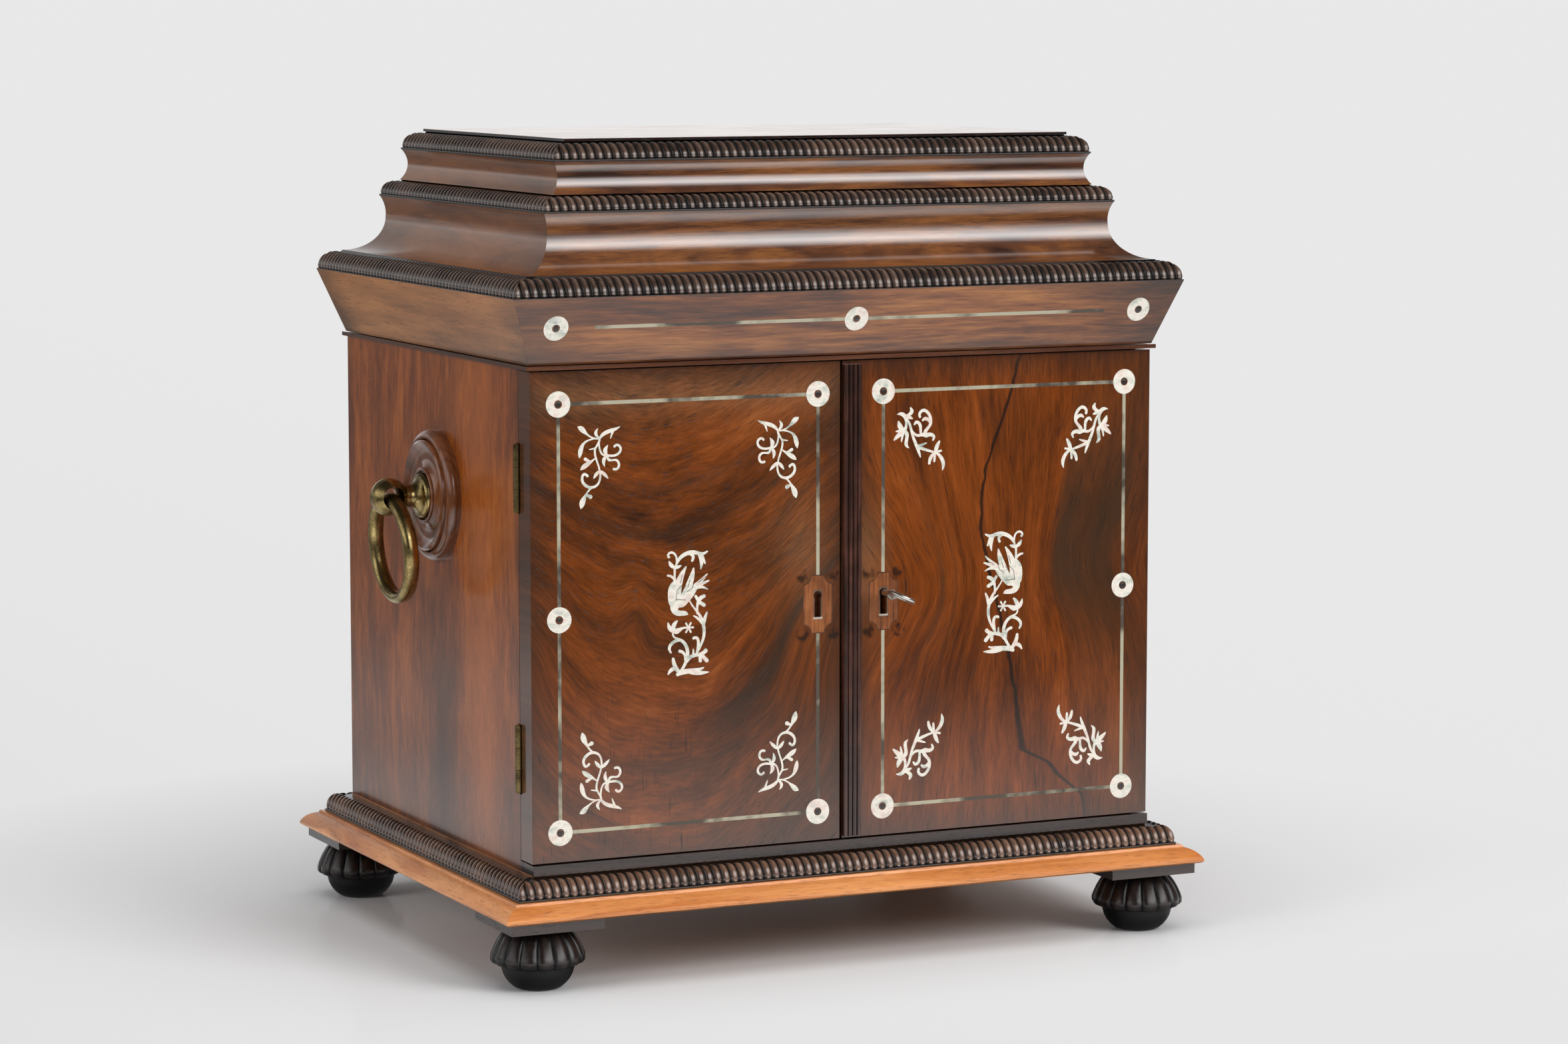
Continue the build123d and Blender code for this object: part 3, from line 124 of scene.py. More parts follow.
class Shader:
    """The nodes of one material, or of the world, where place is a direction instead of a point."""

    def __init__(self, name, owners=bpy.data.materials, coordinates="Object"):
        self.owner = owners.new(name)
        self.owner.use_nodes = True
        self.tree = self.owner.node_tree
        self.tree.nodes.clear()
        self.place = self.node("ShaderNodeTexCoord", {}, {}, coordinates)
        split = self.node("ShaderNodeSeparateXYZ", {}, {0: self.place})
        self.x, self.y, self.z = (split.out(axis) for axis in "XYZ")

    def node(self, kind, settings, inputs, output=0):
        made = self.tree.nodes.new(kind)
        for key, setting in settings.items():
            if key == "stops":
                self.set_stops(made.color_ramp, setting)
            else:
                setattr(made, key, setting)
        for key, value in inputs.items():
            if isinstance(value, Value):
                self.tree.links.new(value.socket, made.inputs[key])
            else:
                made.inputs[key].default_value = value
        return Value(self, made.outputs[output])

    @staticmethod
    def set_stops(ramp, stops):
        while len(ramp.elements) < len(stops):
            ramp.elements.new(0.5)
        for element, (place, colour) in zip(ramp.elements, stops):
            element.position = place
            element.color = colour

    def join(self, x, y, z):
        return self.node("ShaderNodeCombineXYZ", {}, {0: x, 1: y, 2: z})

    def noise(self, place, scale=1.0, detail=2.0, roughness=0.5):
        inputs = {"Vector": place, "Scale": scale, "Detail": detail, "Roughness": roughness}
        return self.node("ShaderNodeTexNoise", {}, inputs)

    def bands(self, along, detail, roughness):
        """Uneven bands along one number, 0 to 1."""
        inputs = {"W": along, "Scale": 1.0, "Detail": detail, "Roughness": roughness}
        return self.node("ShaderNodeTexNoise", {"noise_dimensions": "1D"}, inputs)

    def mix(self, first, second, share):
        inputs = {0: share, 6: first, 7: second}
        return self.node("ShaderNodeMix", {"data_type": "RGBA"}, inputs, 2)

    def multiply(self, colour, other, share):
        settings = {"data_type": "RGBA", "blend_type": "MULTIPLY"}
        return self.node("ShaderNodeMix", settings, {0: share, 6: colour, 7: other}, 2)

    def ramp(self, value, places, colours):
        return self.node("ShaderNodeValToRGB", {"stops": list(zip(places, colours))}, {0: value})

    def finish(self, colour, roughness, height, depth, **fixed):
        """Joins everything in one Principled surface, with a bump of that depth in metres."""
        bump = self.node("ShaderNodeBump", {}, {"Height": height, "Distance": depth, "Strength": 1.0})
        inputs = {"Base Color": colour, "Roughness": roughness, "Normal": bump}
        inputs.update({key.replace("_", " "): value for key, value in fixed.items()})
        return self.end(self.node("ShaderNodeBsdfPrincipled", {}, inputs))

    def end(self, surface, ending="ShaderNodeOutputMaterial"):
        self.tree.links.new(surface.socket, self.tree.nodes.new(ending).inputs["Surface"])
        return self.owner


# Woods

PORE_TONE = "4a2c22"


def side_share(shader):
    """1 on the left and right runs of a mitred frame, 0 on its front and back runs."""
    over_side = shader.x.absolute() - HALF_W
    over_front = shader.y.absolute() - HALF_D
    return (over_side - over_front).math("GREATER_THAN", 0.0)


def grain_axes(shader, grain):
    """The numbers along the grain, across it and into the wood.

    Grain runs up, across from left to right, deep from front to back, level in any upright board, or round a
    mitred frame.
    """
    x, y, z = shader.x, shader.y, shader.z
    if grain == "up":
        return z, x + y, x - y
    if grain == "across":
        return x, y + z, y - z
    if grain == "deep":
        return y, x + z, x - z
    if grain == "level":
        return x + y, z + y * 0.12, x - y
    share = side_share(shader)
    along = x + (y - x) * share
    outward = y.absolute() + (x.absolute() - y.absolute()) * share
    return along, z * 1.3 + outward, z - outward


def pores(shader, along, across, depth, length=150, width=2100):
    """Short dark vessels along the grain, as a mask. length and width are how many fit in a metre."""
    cells = shader.noise(shader.join(along * length, across * width, depth * width), 1.0, 1.0)
    return cells.step(0.60, 0.74)


def smudges(shader, scale=34.0):
    """The uneven polish that hands and cloths leave."""
    return shader.noise(shader.place, scale, 3.0, 0.6)


def wood(name, grain, codes, *, lines, sway, seed, shine, dark_lines, coat=0.35, stain=None):
    """A polished wood: growth bands, dark lines, fibres, pores and an uneven polish.

    codes are its dark, middle and light tones, lines the bands in a metre, and sway how far they wander.
    stain is (axis, place, colour), the colour that the wood takes below that place.
    """
    shader = Shader(name)
    along, across, depth = grain_axes(shader, grain)
    slow = shader.noise(shader.join(along * 6 + seed, across * 13, depth * 13), 1.0, 3.0)
    wander = across + (slow - 0.5) * sway * 2
    growth = shader.bands(wander * lines + seed * 3, 4.0, 0.62)
    fine = shader.noise(shader.join(along * 22, wander * 620, depth * 620), 1.0, 3.0, 0.6)
    broad = shader.noise(shader.join(along * 9, across * 24, depth * 24 + seed), 1.0, 2.0)
    figure = growth * 0.62 + fine * 0.22 + broad * 0.30
    colour = shader.ramp(figure, (0.34, 0.52, 0.76), tones(*codes))
    line = shader.bands(wander * lines * 0.42 + seed + 11, 2.0, 0.7)
    colour = shader.multiply(colour, tone("35201a"), line.step(0.60, 0.70) * dark_lines)
    vessel = pores(shader, along, across, depth)
    colour = shader.multiply(colour, tone(PORE_TONE), vessel * 0.55)
    roughness = smudges(shader) * 0.16 + (shine - 0.08) + vessel * 0.12
    if stain:
        axis, place, darker = stain
        above = getattr(shader, axis).step(place - 0.00005, place + 0.00005)
        colour = shader.multiply(colour, tone(darker), 1 - above)
    bump = 0.00008 if coat < 0.5 else 0.00002
    height = fine * 0.35 - vessel * 0.65
    return shader.finish(colour, roughness, height, bump, Coat_Weight=coat, Coat_Roughness=0.10)


def mottled_wood(name, codes, painted_side_light, *, seed, low_smoke, shine, gloss):
    """Veneer on the mouldings: short streaks along the grain, patches of smoke, dull at the corners.

    painted_side_light gives the left and right runs a warmer, lighter tone: painted light, as if more light
    fell on them. low_smoke darkens the lower edge. shine is the weight of the polish, and gloss its index of
    refraction.
    """
    shader = Shader(name)
    side = side_share(shader)
    along, across, depth = grain_axes(shader, "round")
    drift = shader.noise(shader.join(along * 5 + seed, across * 9, depth * 9), 1.0, 2.0)
    wander = across + (drift - 0.5) * 0.022
    broad = shader.noise(shader.join(along * 8, wander * 45, seed), 1.0, 3.0, 0.55)
    middle = shader.noise(shader.join(along * 30, wander * 210, seed + 3), 1.0, 3.0, 0.6)
    fine = shader.noise(shader.join(along * 55, wander * 950, seed), 1.0, 3.0, 0.65)
    streaks = broad * 0.45 + middle * 0.33 + fine * 0.22
    colour = shader.ramp(streaks, (0.38, 0.47, 0.54, 0.64), tones(*codes))
    # Painted light: the left and right runs take a warmer, lighter tone, as if more light fell on them.
    colour = shader.mix(colour, tone(painted_side_light), side * (broad * 0.9))
    patch = shader.noise(shader.join(along * 5, wander * 26, seed + 9), 1.0, 3.0, 0.6)
    half = side * (HALF_D - HALF_W) + HALF_W
    corner = (along.absolute() / half).step(0.80, 1.02)
    low = (1 - shader.z.step(0.268, 0.276)) * low_smoke
    smoke = (patch.step(0.52, 0.68) * 0.55 + corner * 0.55 + low).clamped()
    colour = shader.mix(colour, tone("30221a"), smoke * 0.75)
    vessel = pores(shader, along, across, depth, 110, 1500)
    colour = shader.multiply(colour, tone(PORE_TONE), vessel * 0.5)
    roughness = smudges(shader) * 0.14 + 0.15
    height = fine * 0.5 + middle * 0.3
    coat = shine - side * 0.4
    return shader.finish(
        colour, roughness, height, 0.000015, Coat_Weight=coat, Coat_Roughness=0.16, Coat_IOR=gloss
    )


# Door and side veneers

LEAF_WIDE = 0.145
LEAF_TALL = 0.210
LEFT_EDGES = (-0.150, -0.0046, 0.0536, 0.264)
RIGHT_EDGES = (-0.0034, 0.150, 0.0536, 0.264)
RIGHT_INK = (
    (0.0, 0.795), (0.05, 0.785), (0.09, 0.715), (0.125, 0.67), (0.155, 0.59), (0.20, 0.573), (0.28, 0.561),
    (0.385, 0.532), (0.62, 0.447), (0.70, 0.447), (0.77, 0.462), (0.90, 0.532), (1.0, 0.57),
)
SIDE_FRONT = -0.100
SIDE_DEEP = 0.213
SIDE_BOTTOM = 0.0485
SIDE_TALL = 0.216
LEFT_KEYHOLE = (-0.0152, 0.1580)
RIGHT_KEYHOLE = (0.0168, 0.1576)
KEYHOLE_END = 0.0058
KEYHOLE_SIDE = (0.0019, 0.0024)
PLATE_REACH = (0.00725, 0.0129)
PLATE_NOTCH = 0.004


def leaf_place(shader, edges, seed):
    """How far a point is across and up a door, 0 to 1, and the same with the small wander of real grain."""
    left, right, bottom, top = edges
    u = (shader.x - left) / (right - left)
    v = (shader.z - bottom) / (top - bottom)
    drift = shader.noise(shader.join(shader.x * 17, seed, shader.z * 11))
    push = shader.noise(shader.join(shader.x * 16, seed + 5, shader.z * 14))
    return u, v, u + (drift - 0.5) * 0.10, v + (push - 0.5) * 0.10


def figured(shader, flow, along, codes, seed):
    """Soft patches and fine fibres that follow the flow of the grain."""
    broad = shader.noise(shader.join(along * 2.2, seed, flow * 8), 1.0, 3.0, 0.55)
    middle = shader.noise(shader.join(along * 5, seed + 3, flow * 30), 1.0, 3.0, 0.6)
    fine = shader.noise(shader.join(along * 20, seed, flow * 150), 1.0, 3.0, 0.65)
    figure = broad * 0.44 + middle * 0.28 + fine * 0.28
    return shader.ramp(figure, (0.36, 0.47, 0.56, 0.67), tones(*codes)), fine


def near_keyhole(shader):
    """How far a point is from the middle of the nearer keyhole, sideways and up."""
    turn = shader.x.step(-0.001, 0.001)
    across = (shader.x - turn * (RIGHT_KEYHOLE[0] - LEFT_KEYHOLE[0]) - LEFT_KEYHOLE[0]).absolute()
    return across, shader.z - turn * (RIGHT_KEYHOLE[1] - LEFT_KEYHOLE[1]) - LEFT_KEYHOLE[1]


def off_notch(across, up):
    """How far a point is outside the round notches in a plate's corners."""
    side, end = across - PLATE_REACH[0], up.absolute() - PLATE_REACH[1]
    return (side * side + end * end).root() - PLATE_NOTCH


def finish_leaf(shader, colour, u, v, fine, vessel):
    """Darker edges, open pores, dirt round the keyhole plate and an uneven old polish."""
    near_side = u.least(1 - u) * LEAF_WIDE
    near_end = v.least(1 - v) * LEAF_TALL
    near_edge = near_side.least(near_end) + (fine - 0.5) * 0.006
    colour = shader.mix(colour, tone("33231a"), (1 - near_edge.step(0.0, 0.014)) * 0.62)
    colour = shader.multiply(colour, tone("4a2c1e"), vessel * 0.7)
    round_plate = 1 - off_notch(*near_keyhole(shader)).step(-0.0016, -0.0002)
    specks = shader.noise(shader.place, 240.0, 1.0).step(0.42, 0.60)
    colour = shader.mix(colour, tone("1d130e"), round_plate * specks * 0.8)
    roughness = smudges(shader, 26.0) * 0.14 + 0.10 + vessel * 0.1
    height = fine * 0.3 - vessel * 0.7
    return shader.finish(colour, roughness, height, 0.00003, Coat_Weight=0.4, Coat_Roughness=0.08)


def left_veneer():
    """Smoky smiles over the top, a flame rising to the right and a small arch round a knot."""
    shader = Shader("left_door_veneer")
    u, v, across, up = leaf_place(shader, LEFT_EDGES, 2.0)
    lift = across - 0.42
    sweep = lift * lift * (up.bell(0.46, 0.30) * 0.80 + 0.55)
    arch = across.bell(0.33, 0.10) * up.bell(0.50, 0.13) * 0.08
    flow = up - sweep - arch
    colour, fine = figured(shader, flow, across, ("30180b", "53290c", "703711", "8a4c1f"), 2.0)
    smoke = (
        flow.bell(0.755, 0.018) * u.bell(0.5, 0.40) * 0.60
        + flow.bell(0.655, 0.026) * 0.50
        + flow.bell(0.560, 0.020) * u.step(0.45, 0.6) * 0.40
        + flow.bell(0.400, 0.022) * 0.30
        + flow.bell(0.235, 0.040) * u.step(0.48, 0.68) * 0.95
        + flow.bell(0.165, 0.030) * u.bell(0.42, 0.25) * 0.55
        + u.step(0.55, 0.80) * (1 - v.step(0.10, 0.42)) * 0.55
    )
    patch = shader.noise(shader.join(across * 3, 8.0, flow * 9), 1.0, 3.0, 0.6)
    colour = shader.mix(colour, tone("2e2219"), (smoke * (patch * 1.5 + 0.2)).clamped() * 0.85)
    # Painted highlight: a pale soft reflection in a band near the right edge and along the top of the leaf.
    pale = u.bell(0.88, 0.12) * v.bell(0.62, 0.14) * 0.50 + v.bell(0.95, 0.06) * 0.60
    colour = shader.mix(colour, tone("8f6c4e"), pale * fine)
    upright = shader.noise(shader.join(shader.x * 900, 1.0, shader.z * 75))
    curved = shader.noise(shader.join(across * 26, 4.0, flow * 210))
    low_left = (1 - v.step(0.25, 0.5)) * (1 - u.step(0.5, 0.7))
    vessel = (curved + (upright - curved) * low_left).step(0.60, 0.72)
    return finish_leaf(shader, colour, u, v, fine, vessel)


def right_veneer():
    """Upright grain that bulges round a knot by the keyhole, with one ink line down the leaf."""
    shader = Shader("right_door_veneer")
    u, v, across, up = leaf_place(shader, RIGHT_EDGES, 7.0)
    near_knot = 1 - u.step(0.30, 0.62)
    bulge = up.bell(0.52, 0.24) * near_knot * 0.17
    bay = up.bell(0.55, 0.22) * u.step(0.5, 0.72) * 0.10
    flow = across - bulge + bay
    colour, fine = figured(shader, flow, up, ("36190b", "5a2b0c", "743810", "8c4a1c"), 7.0)
    smoke = (
        flow.bell(0.16, 0.022) * up.bell(0.52, 0.22) * 0.65
        + flow.bell(0.235, 0.016) * up.bell(0.50, 0.30) * 0.45
        + flow.step(0.740, 0.775) * (1 - flow.step(0.96, 1.06)) * v.bell(0.60, 0.34) * 1.10
        + u.step(0.72, 0.95) * (1 - v.step(0.12, 0.34)) * 0.40
        + (1 - u.step(0.0, 0.16)) * (1 - v.step(0.2, 0.46)) * 0.45
    )
    patch = shader.noise(shader.join(flow * 9, 3.0, up * 4), 1.0, 3.0, 0.6)
    colour = shader.mix(colour, tone("33261a"), (smoke * (patch * 1.2 + 0.35)).clamped() * 0.85)
    # Painted highlight: a pale soft reflection near the left edge, about halfway up the leaf.
    pale = (1 - u.step(0.02, 0.17)) * v.bell(0.58, 0.16) * 0.75
    colour = shader.mix(colour, tone("8c6444"), pale)
    heights, places = zip(*RIGHT_INK)
    path = shader.ramp(v, heights, [(place, place, place, 1.0) for place in places])
    jitter = shader.noise(shader.join(1.0, 2.0, shader.z * 130), 1.0, 3.0)
    thick = jitter * 0.009 + v.bell(0.17, 0.10) * 0.007 + 0.001
    ink = 1 - ((u - path + (jitter - 0.5) * 0.018).absolute() / thick).step(0.5, 1.3)
    colour = shader.mix(colour, tone("1d130d"), ink * 0.88)
    vessel = shader.noise(shader.join(flow * 150, 1.0, up * 16)).step(0.60, 0.72)
    return finish_leaf(shader, colour, u, v, fine, vessel)


def side_veneer():
    """Broad upright figure: orange near the front, smoky below the handle and at the foot."""
    shader = Shader("side_veneer")
    up = (shader.z - SIDE_BOTTOM) / SIDE_TALL
    back = (shader.y - SIDE_FRONT) / SIDE_DEEP
    drift = shader.noise(shader.join(1.0, shader.y * 9, shader.z * 7), 1.0, 3.0, 0.55)
    across = back + (drift - 0.5) * 0.14
    colour, fine = figured(shader, across, up, ("46210d", "70360e", "924c17", "aa6526"), 4.0)
    strip = across.bell(0.21, 0.10)
    colour = shader.mix(colour, tone("a85a20"), strip * (fine * 0.4 + 0.35))
    smoke = (
        across.bell(0.43, 0.12) * (1 - up.step(0.35, 0.62)) * 0.85
        + across.bell(0.36, 0.05) * up.step(0.6, 0.9) * 0.35
        + (1 - up.step(0.0, 0.22)) * 0.55
        + across.bell(0.84, 0.09) * up.bell(0.3, 0.4) * 0.35
        + (1 - back.step(0.0, 0.05)) * 0.5
        + back.step(0.94, 1.0) * 0.4
    )
    colour = shader.mix(colour, tone("241610"), smoke.clamped() * 0.72)
    vessel = shader.noise(shader.join(2.0, shader.y * 1500, shader.z * 130)).step(0.60, 0.72)
    colour = shader.multiply(colour, tone("5c3a28"), vessel * 0.5)
    roughness = smudges(shader, 26.0) * 0.14 + 0.22
    height = fine * 0.3 - vessel * 0.7
    return shader.finish(colour, roughness, height, 0.00004, Coat_Weight=0.4, Coat_Roughness=0.12)


# Carving, keyhole plates and the reeded strip

def carved_wood(name, dark, bright, polish, coat):
    """Dark polished carving, browner where hands have worn the crests, with painted shade and highlight."""
    shader = Shader(name)
    crest = shader.node("ShaderNodeAttribute", {"attribute_name": "crest"}, {}, "Fac")
    patch = shader.noise(shader.place, 38.0, 4.0, 0.65)
    grime = shader.noise(shader.place, 420.0, 3.0, 0.6)
    wear = (crest * 0.9 + patch * 1.1 - 0.95).step(0.15, 0.75)
    colour = shader.mix(tone(dark), tone(bright), wear)
    colour = shader.multiply(colour, tone("5a4a44"), grime.step(0.5, 0.75) * 0.5)
    # The very crests take a pale grey: partly real wear, partly a painted highlight where light would catch
    # them.
    worn = crest.step(0.93, 1.0) * patch.step(0.35, 0.6)
    colour = shader.mix(colour, tone("6c635c"), worn * 0.5 * coat)
    # Painted shade: the grooves between lobes, and plain faces with no crest, are darkened as if in shade,
    # and rougher.
    shaded_hollow = 1 - crest.step(0.20, 0.85)
    colour = shader.multiply(colour, tone("2a211e"), shaded_hollow * 0.85)
    roughness = patch * 0.16 + polish - 0.08 + shaded_hollow * 0.35
    height = grime * 0.5 + patch * 0.5
    return shader.finish(colour, roughness, height, 0.00010, Coat_Weight=coat, Coat_Roughness=0.14)


def keyhole_plate():
    """Brown inlaid plate: a dark joint round it, and a worn metal lining in the keyhole."""
    shader = Shader("escutcheon_wood")
    across, up = near_keyhole(shader)
    grain = shader.noise(shader.join(shader.x * 900, 3.0, shader.z * 45), 1.0, 3.0, 0.6)
    patch = shader.noise(shader.place, 120.0)
    colour = shader.ramp(grain * 0.6 + patch * 0.4, (0.34, 0.50, 0.66), tones("4a2613", "7a441f", "955a30"))
    side = PLATE_REACH[0] - across
    end = PLATE_REACH[1] - up.absolute()
    inside = side.least(end).least(off_notch(across, up))
    colour = shader.mix(colour, tone("1c110c"), (1 - inside.step(0.00015, 0.00065)) * 0.85)
    slot = 1 - across.step(*KEYHOLE_SIDE)
    lining = slot * (1 - (up.absolute() - KEYHOLE_END).step(0.0003, 0.0010))
    foot = 1 - up.step(-KEYHOLE_END - 0.0002, -KEYHOLE_END + 0.0004)
    colour = shader.mix(colour, tone("4c443b"), lining * 0.7)
    colour = shader.mix(colour, tone("b5afa3"), lining * foot)
    return shader.finish(colour, patch * 0.2 + 0.22, grain, 0.00005, Coat_Weight=0.3, Coat_Roughness=0.12)


def reeded_wood():
    """Red-brown moulding, streaked dark and light along its length."""
    shader = Shader("reeded_strip")
    grain = shader.noise(shader.join(shader.x * 500, shader.y * 500, shader.z * 20), 1.0, 3.0, 0.6)
    rubbed = shader.noise(shader.place, 60.0, 3.0, 0.6)
    colour = shader.ramp(grain * 0.6 + rubbed * 0.4, (0.38, 0.52, 0.68), tones("1c0f0b", "331b14", "593428"))
    return shader.finish(colour, grain * 0.15 + 0.22, grain, 0.00005, Coat_Weight=0.3, Coat_Roughness=0.12)


# Shell and metals

BIRD_LEFT_X = -0.0873
BIRD_RIGHT_X = 0.0865
BIRD_TOP = 0.1856
FAR_OFF = 9.0
FEATHER_LINES = (
    ((4.5, -22.0), (5.1, -17.8)), ((5.1, -17.8), (8.2, -14.9)), ((6.7, -14.6), (7.5, -11.3)),
    ((7.1, -19.0), (9.1, -15.8)), ((10.2, -16.4), (11.1, -13.7)), ((9.8, -18.7), (12.0, -17.4)),
    ((12.0, -17.4), (13.5, -14.0)), ((4.7, -21.8), (8.9, -22.2)), ((15.0, -14.8), (19.0, -12.3)),
)


def engraving(shader):
    """The graver's lines between the birds' feathers, as a mask. The right bird is the left one mirrored."""
    right = shader.x.step(-0.001, 0.001)
    x = (shader.x - BIRD_LEFT_X) * (1 - right) + (BIRD_RIGHT_X - shader.x) * right
    x, z = x / MM, (shader.z - BIRD_TOP) / MM
    nearest = FAR_OFF
    for (x0, z0), (x1, z1) in FEATHER_LINES:
        long, tall = x1 - x0, z1 - z0
        along = (((x - x0) * long + (z - z0) * tall) / (long * long + tall * tall)).clamped()
        off_x, off_z = x - x0 - along * long, z - z0 - along * tall
        nearest = (off_x * off_x + off_z * off_z).least(nearest)
    return 1 - nearest.root().step(0.10, 0.30)


def pearl():
    """Mother-of-pearl: each patch of shell takes its own pale tint, and the birds are engraved."""
    shader = Shader("mother_of_pearl")
    warped = shader.noise(shader.place, 90.0)
    patch = shader.noise(shader.join(shader.x * 150, warped * 2.4, shader.z * 210))
    layers = shader.noise(shader.join(shader.x * 500, shader.y, shader.z * 1300), 1.0, 2.0, 0.6)
    tints = tones("98a199", "c8c6ba", "dcd7cb", "d2bfb4", "b3beb6")
    colour = shader.ramp(patch * 0.8 + layers * 0.2, (0.30, 0.42, 0.52, 0.62, 0.74), tints)
    colour = shader.mix(colour, tone("5e564b"), engraving(shader) * 0.8)
    return shader.finish(colour, layers * 0.2 + 0.16, layers, 0.00003, Coat_Weight=0.5, Coat_Roughness=0.06)


def metal(name, bright, dull, rough, tarnish):
    """Bare metal with patches of tarnish and fine scratches."""
    shader = Shader(name)
    patch = shader.noise(shader.place, 120.0, 4.0, 0.6)
    fine = shader.noise(shader.place, 900.0, 3.0, 0.6)
    old = (patch * 0.8 + fine * 0.35).step(0.5, 0.75) * tarnish
    colour = shader.mix(tone(bright), tone(dull), old)
    roughness = old * 0.25 + rough + fine * 0.08
    return shader.finish(colour, roughness, fine * 0.6 + patch * 0.4, 0.00004, Metallic=1.0)


def stringing():
    """Thin pewter line, bright where it is rubbed and nearly black where it has tarnished."""
    shader = Shader("inlaid_line")
    stretch = shader.noise(shader.place, 24.0)
    short = shader.noise(shader.place, 160.0)
    rubbed = (stretch * 0.75 + short * 0.25).step(0.44, 0.56)
    colour = shader.mix(tone("4a4239"), tone("a8a28c"), rubbed)
    return shader.finish(colour, short * 0.2 + 0.28, short, 0.00003, Metallic=0.25)


# Materials

INNER_TONES = ("4a2816", "6e4225", "8c5c38")
DRAWER_FRONT_BACK = -0.0845
TOP_FACE = 0.3609

materials = {
    "left_door": left_veneer(),
    "right_door": right_veneer(),
    "side": side_veneer(),
    "frieze": mottled_wood(
        "frieze_veneer", ("341709", "5e3114", "7f4a22", "a06834"), "c08450",
        seed=4.0, low_smoke=0.4, shine=0.42, gloss=1.4,
    ),
    "cove": mottled_wood(
        "cove_veneer", ("301a10", "55301a", "74451f", "8f5a2c"), "7a4822",
        seed=7.0, low_smoke=0.0, shine=0.8, gloss=2.2,
    ),
    "back": wood(
        "back_board", "up", ("331a10", "4d2a19", "653b25"),
        lines=55, sway=0.03, seed=6.0, shine=0.4, dark_lines=0.3,
    ),
    "rim": wood(
        "rim_wood", "round", ("723b1a", "b46b32", "da965a"),
        lines=105, sway=0.020, seed=1.0, shine=0.28, dark_lines=0.5,
    ),
    "top": wood(
        "top_veneer", "across", ("2a140b", "5c3014", "8a5025"),
        lines=90, sway=0.03, seed=5.0, shine=0.20, dark_lines=0.5, coat=0.55, stain=("z", TOP_FACE, "4a3a30"),
    ),
    "boss": wood(
        "boss_wood", "up", ("33190e", "583019", "7a482c"),
        lines=130, sway=0.012, seed=9.0, shine=0.18, dark_lines=0.4, coat=0.6,
    ),
    "inside": wood(
        "inside_wood", "deep", ("6b3d22", "8d5733", "a97248"),
        lines=70, sway=0.02, seed=3.0, shine=0.5, dark_lines=0.2,
    ),
    "rail": wood(
        "rail_wood", "level", INNER_TONES, lines=110, sway=0.012, seed=2.0, shine=0.42, dark_lines=0.3,
    ),
    "divider": wood(
        "divider_wood", "up", INNER_TONES, lines=110, sway=0.012, seed=8.0, shine=0.42, dark_lines=0.3,
    ),
    "drawer": wood(
        "drawer_wood", "level", ("5e3820", "805536", "9c7048"),
        lines=150, sway=0.014, seed=6.0, shine=0.36, dark_lines=0.35, coat=0.2,
        stain=("y", DRAWER_FRONT_BACK, "a87a58"),
    ),
    "lip": wood(
        "lip_wood", "round", ("2a150d", "4a2a1b", "6c432e"),
        lines=120, sway=0.01, seed=4.0, shine=0.20, dark_lines=0.3, coat=0.7,
    ),
    "plinth": wood(
        "plinth_wood", "round", ("120a07", "20110b", "332017"),
        lines=120, sway=0.01, seed=5.0, shine=0.28, dark_lines=0.3,
    ),
    "mastic": wood(
        "dark_mastic", "up", ("0c0908", "191210", "2a201b"),
        lines=300, sway=0.01, seed=3.0, shine=0.45, dark_lines=0.2,
    ),
    "plate": keyhole_plate(),
    "strip": reeded_wood(),
    "foot": carved_wood("foot_wood", "0b0807", "20130f", polish=0.28, coat=0.15),
    "carved": carved_wood("carved_dark_wood", "1a1310", "583f31", polish=0.20, coat=0.9),
    "base_carved": carved_wood("base_carved_wood", "241812", "7a5640", polish=0.20, coat=0.9),
    "pearl": pearl(),
    "stringing": stringing(),
    "brass": metal("worn_brass", "b09b68", "5f4f30", rough=0.18, tarnish=0.85),
    "dull_brass": metal("dull_brass", "8a7850", "33281b", rough=0.34, tarnish=1.0),
    "steel": metal("plated_steel", "c9c6be", "77726a", rough=0.24, tarnish=0.5),
}


def dress(material, *names):
    """Gives CAD nodes their finished material."""
    for name in names:
        for slot in nodes[name].material_slots:
            slot.material = materials[material]


def dress_frame():
    dress("left_door", "left_door")
    dress("right_door", "right_door")
    dress("side", "left_side", "right_side")
    dress("back", "back_panel")
    dress("frieze", "lid_frieze")
    dress("cove", "lid_large_cove", "lid_small_cove")
    dress("lip", "top_lip")
    dress("rim", "base_board")
    dress("top", "lid_top_panel")
    dress("boss", "left_boss", "right_boss")
    dress("plate", "left_escutcheon", "right_escutcheon")
    dress("plinth", "plinth_board", "foot_pads")
    dress("strip", "meeting_strip")
    dress("base_carved", "base_gadroon")
    dress("carved", "lid_lower_gadroon", "lid_middle_gadroon", "lid_top_gadroon")
    dress("foot", "foot_front_left", "foot_front_right", "foot_back_left", "foot_back_right")
    dress("inside", "carcass_bottom", "well_floor", "tray_bearers")
    dress("rail", "well_front_rail", "drawer_shelves", "tray")
    dress("divider", "centre_divider")
    dress("pearl", "left_door_discs", "right_door_discs", "frieze_discs")
    dress("pearl", "left_door_pearl", "right_door_pearl")
    dress("stringing", "left_door_stringing", "right_door_stringing", "frieze_stringing")
    dress("brass", "ring_eyes", "eye_nuts", "left_ring", "right_ring", "lock_case", "lock_bolt")
    dress("dull_brass", "case_hinge_leaves", "lid_hinge_leaves", "hinge_pins")
    dress("dull_brass", "left_door_hinge_leaves", "right_door_hinge_leaves")
    dress("steel", "key")
    for side in ("left", "right"):
        dress("drawer", *[f"drawer_{side}_{row}" for row in ("bottom", "middle", "top")])


# New pieces

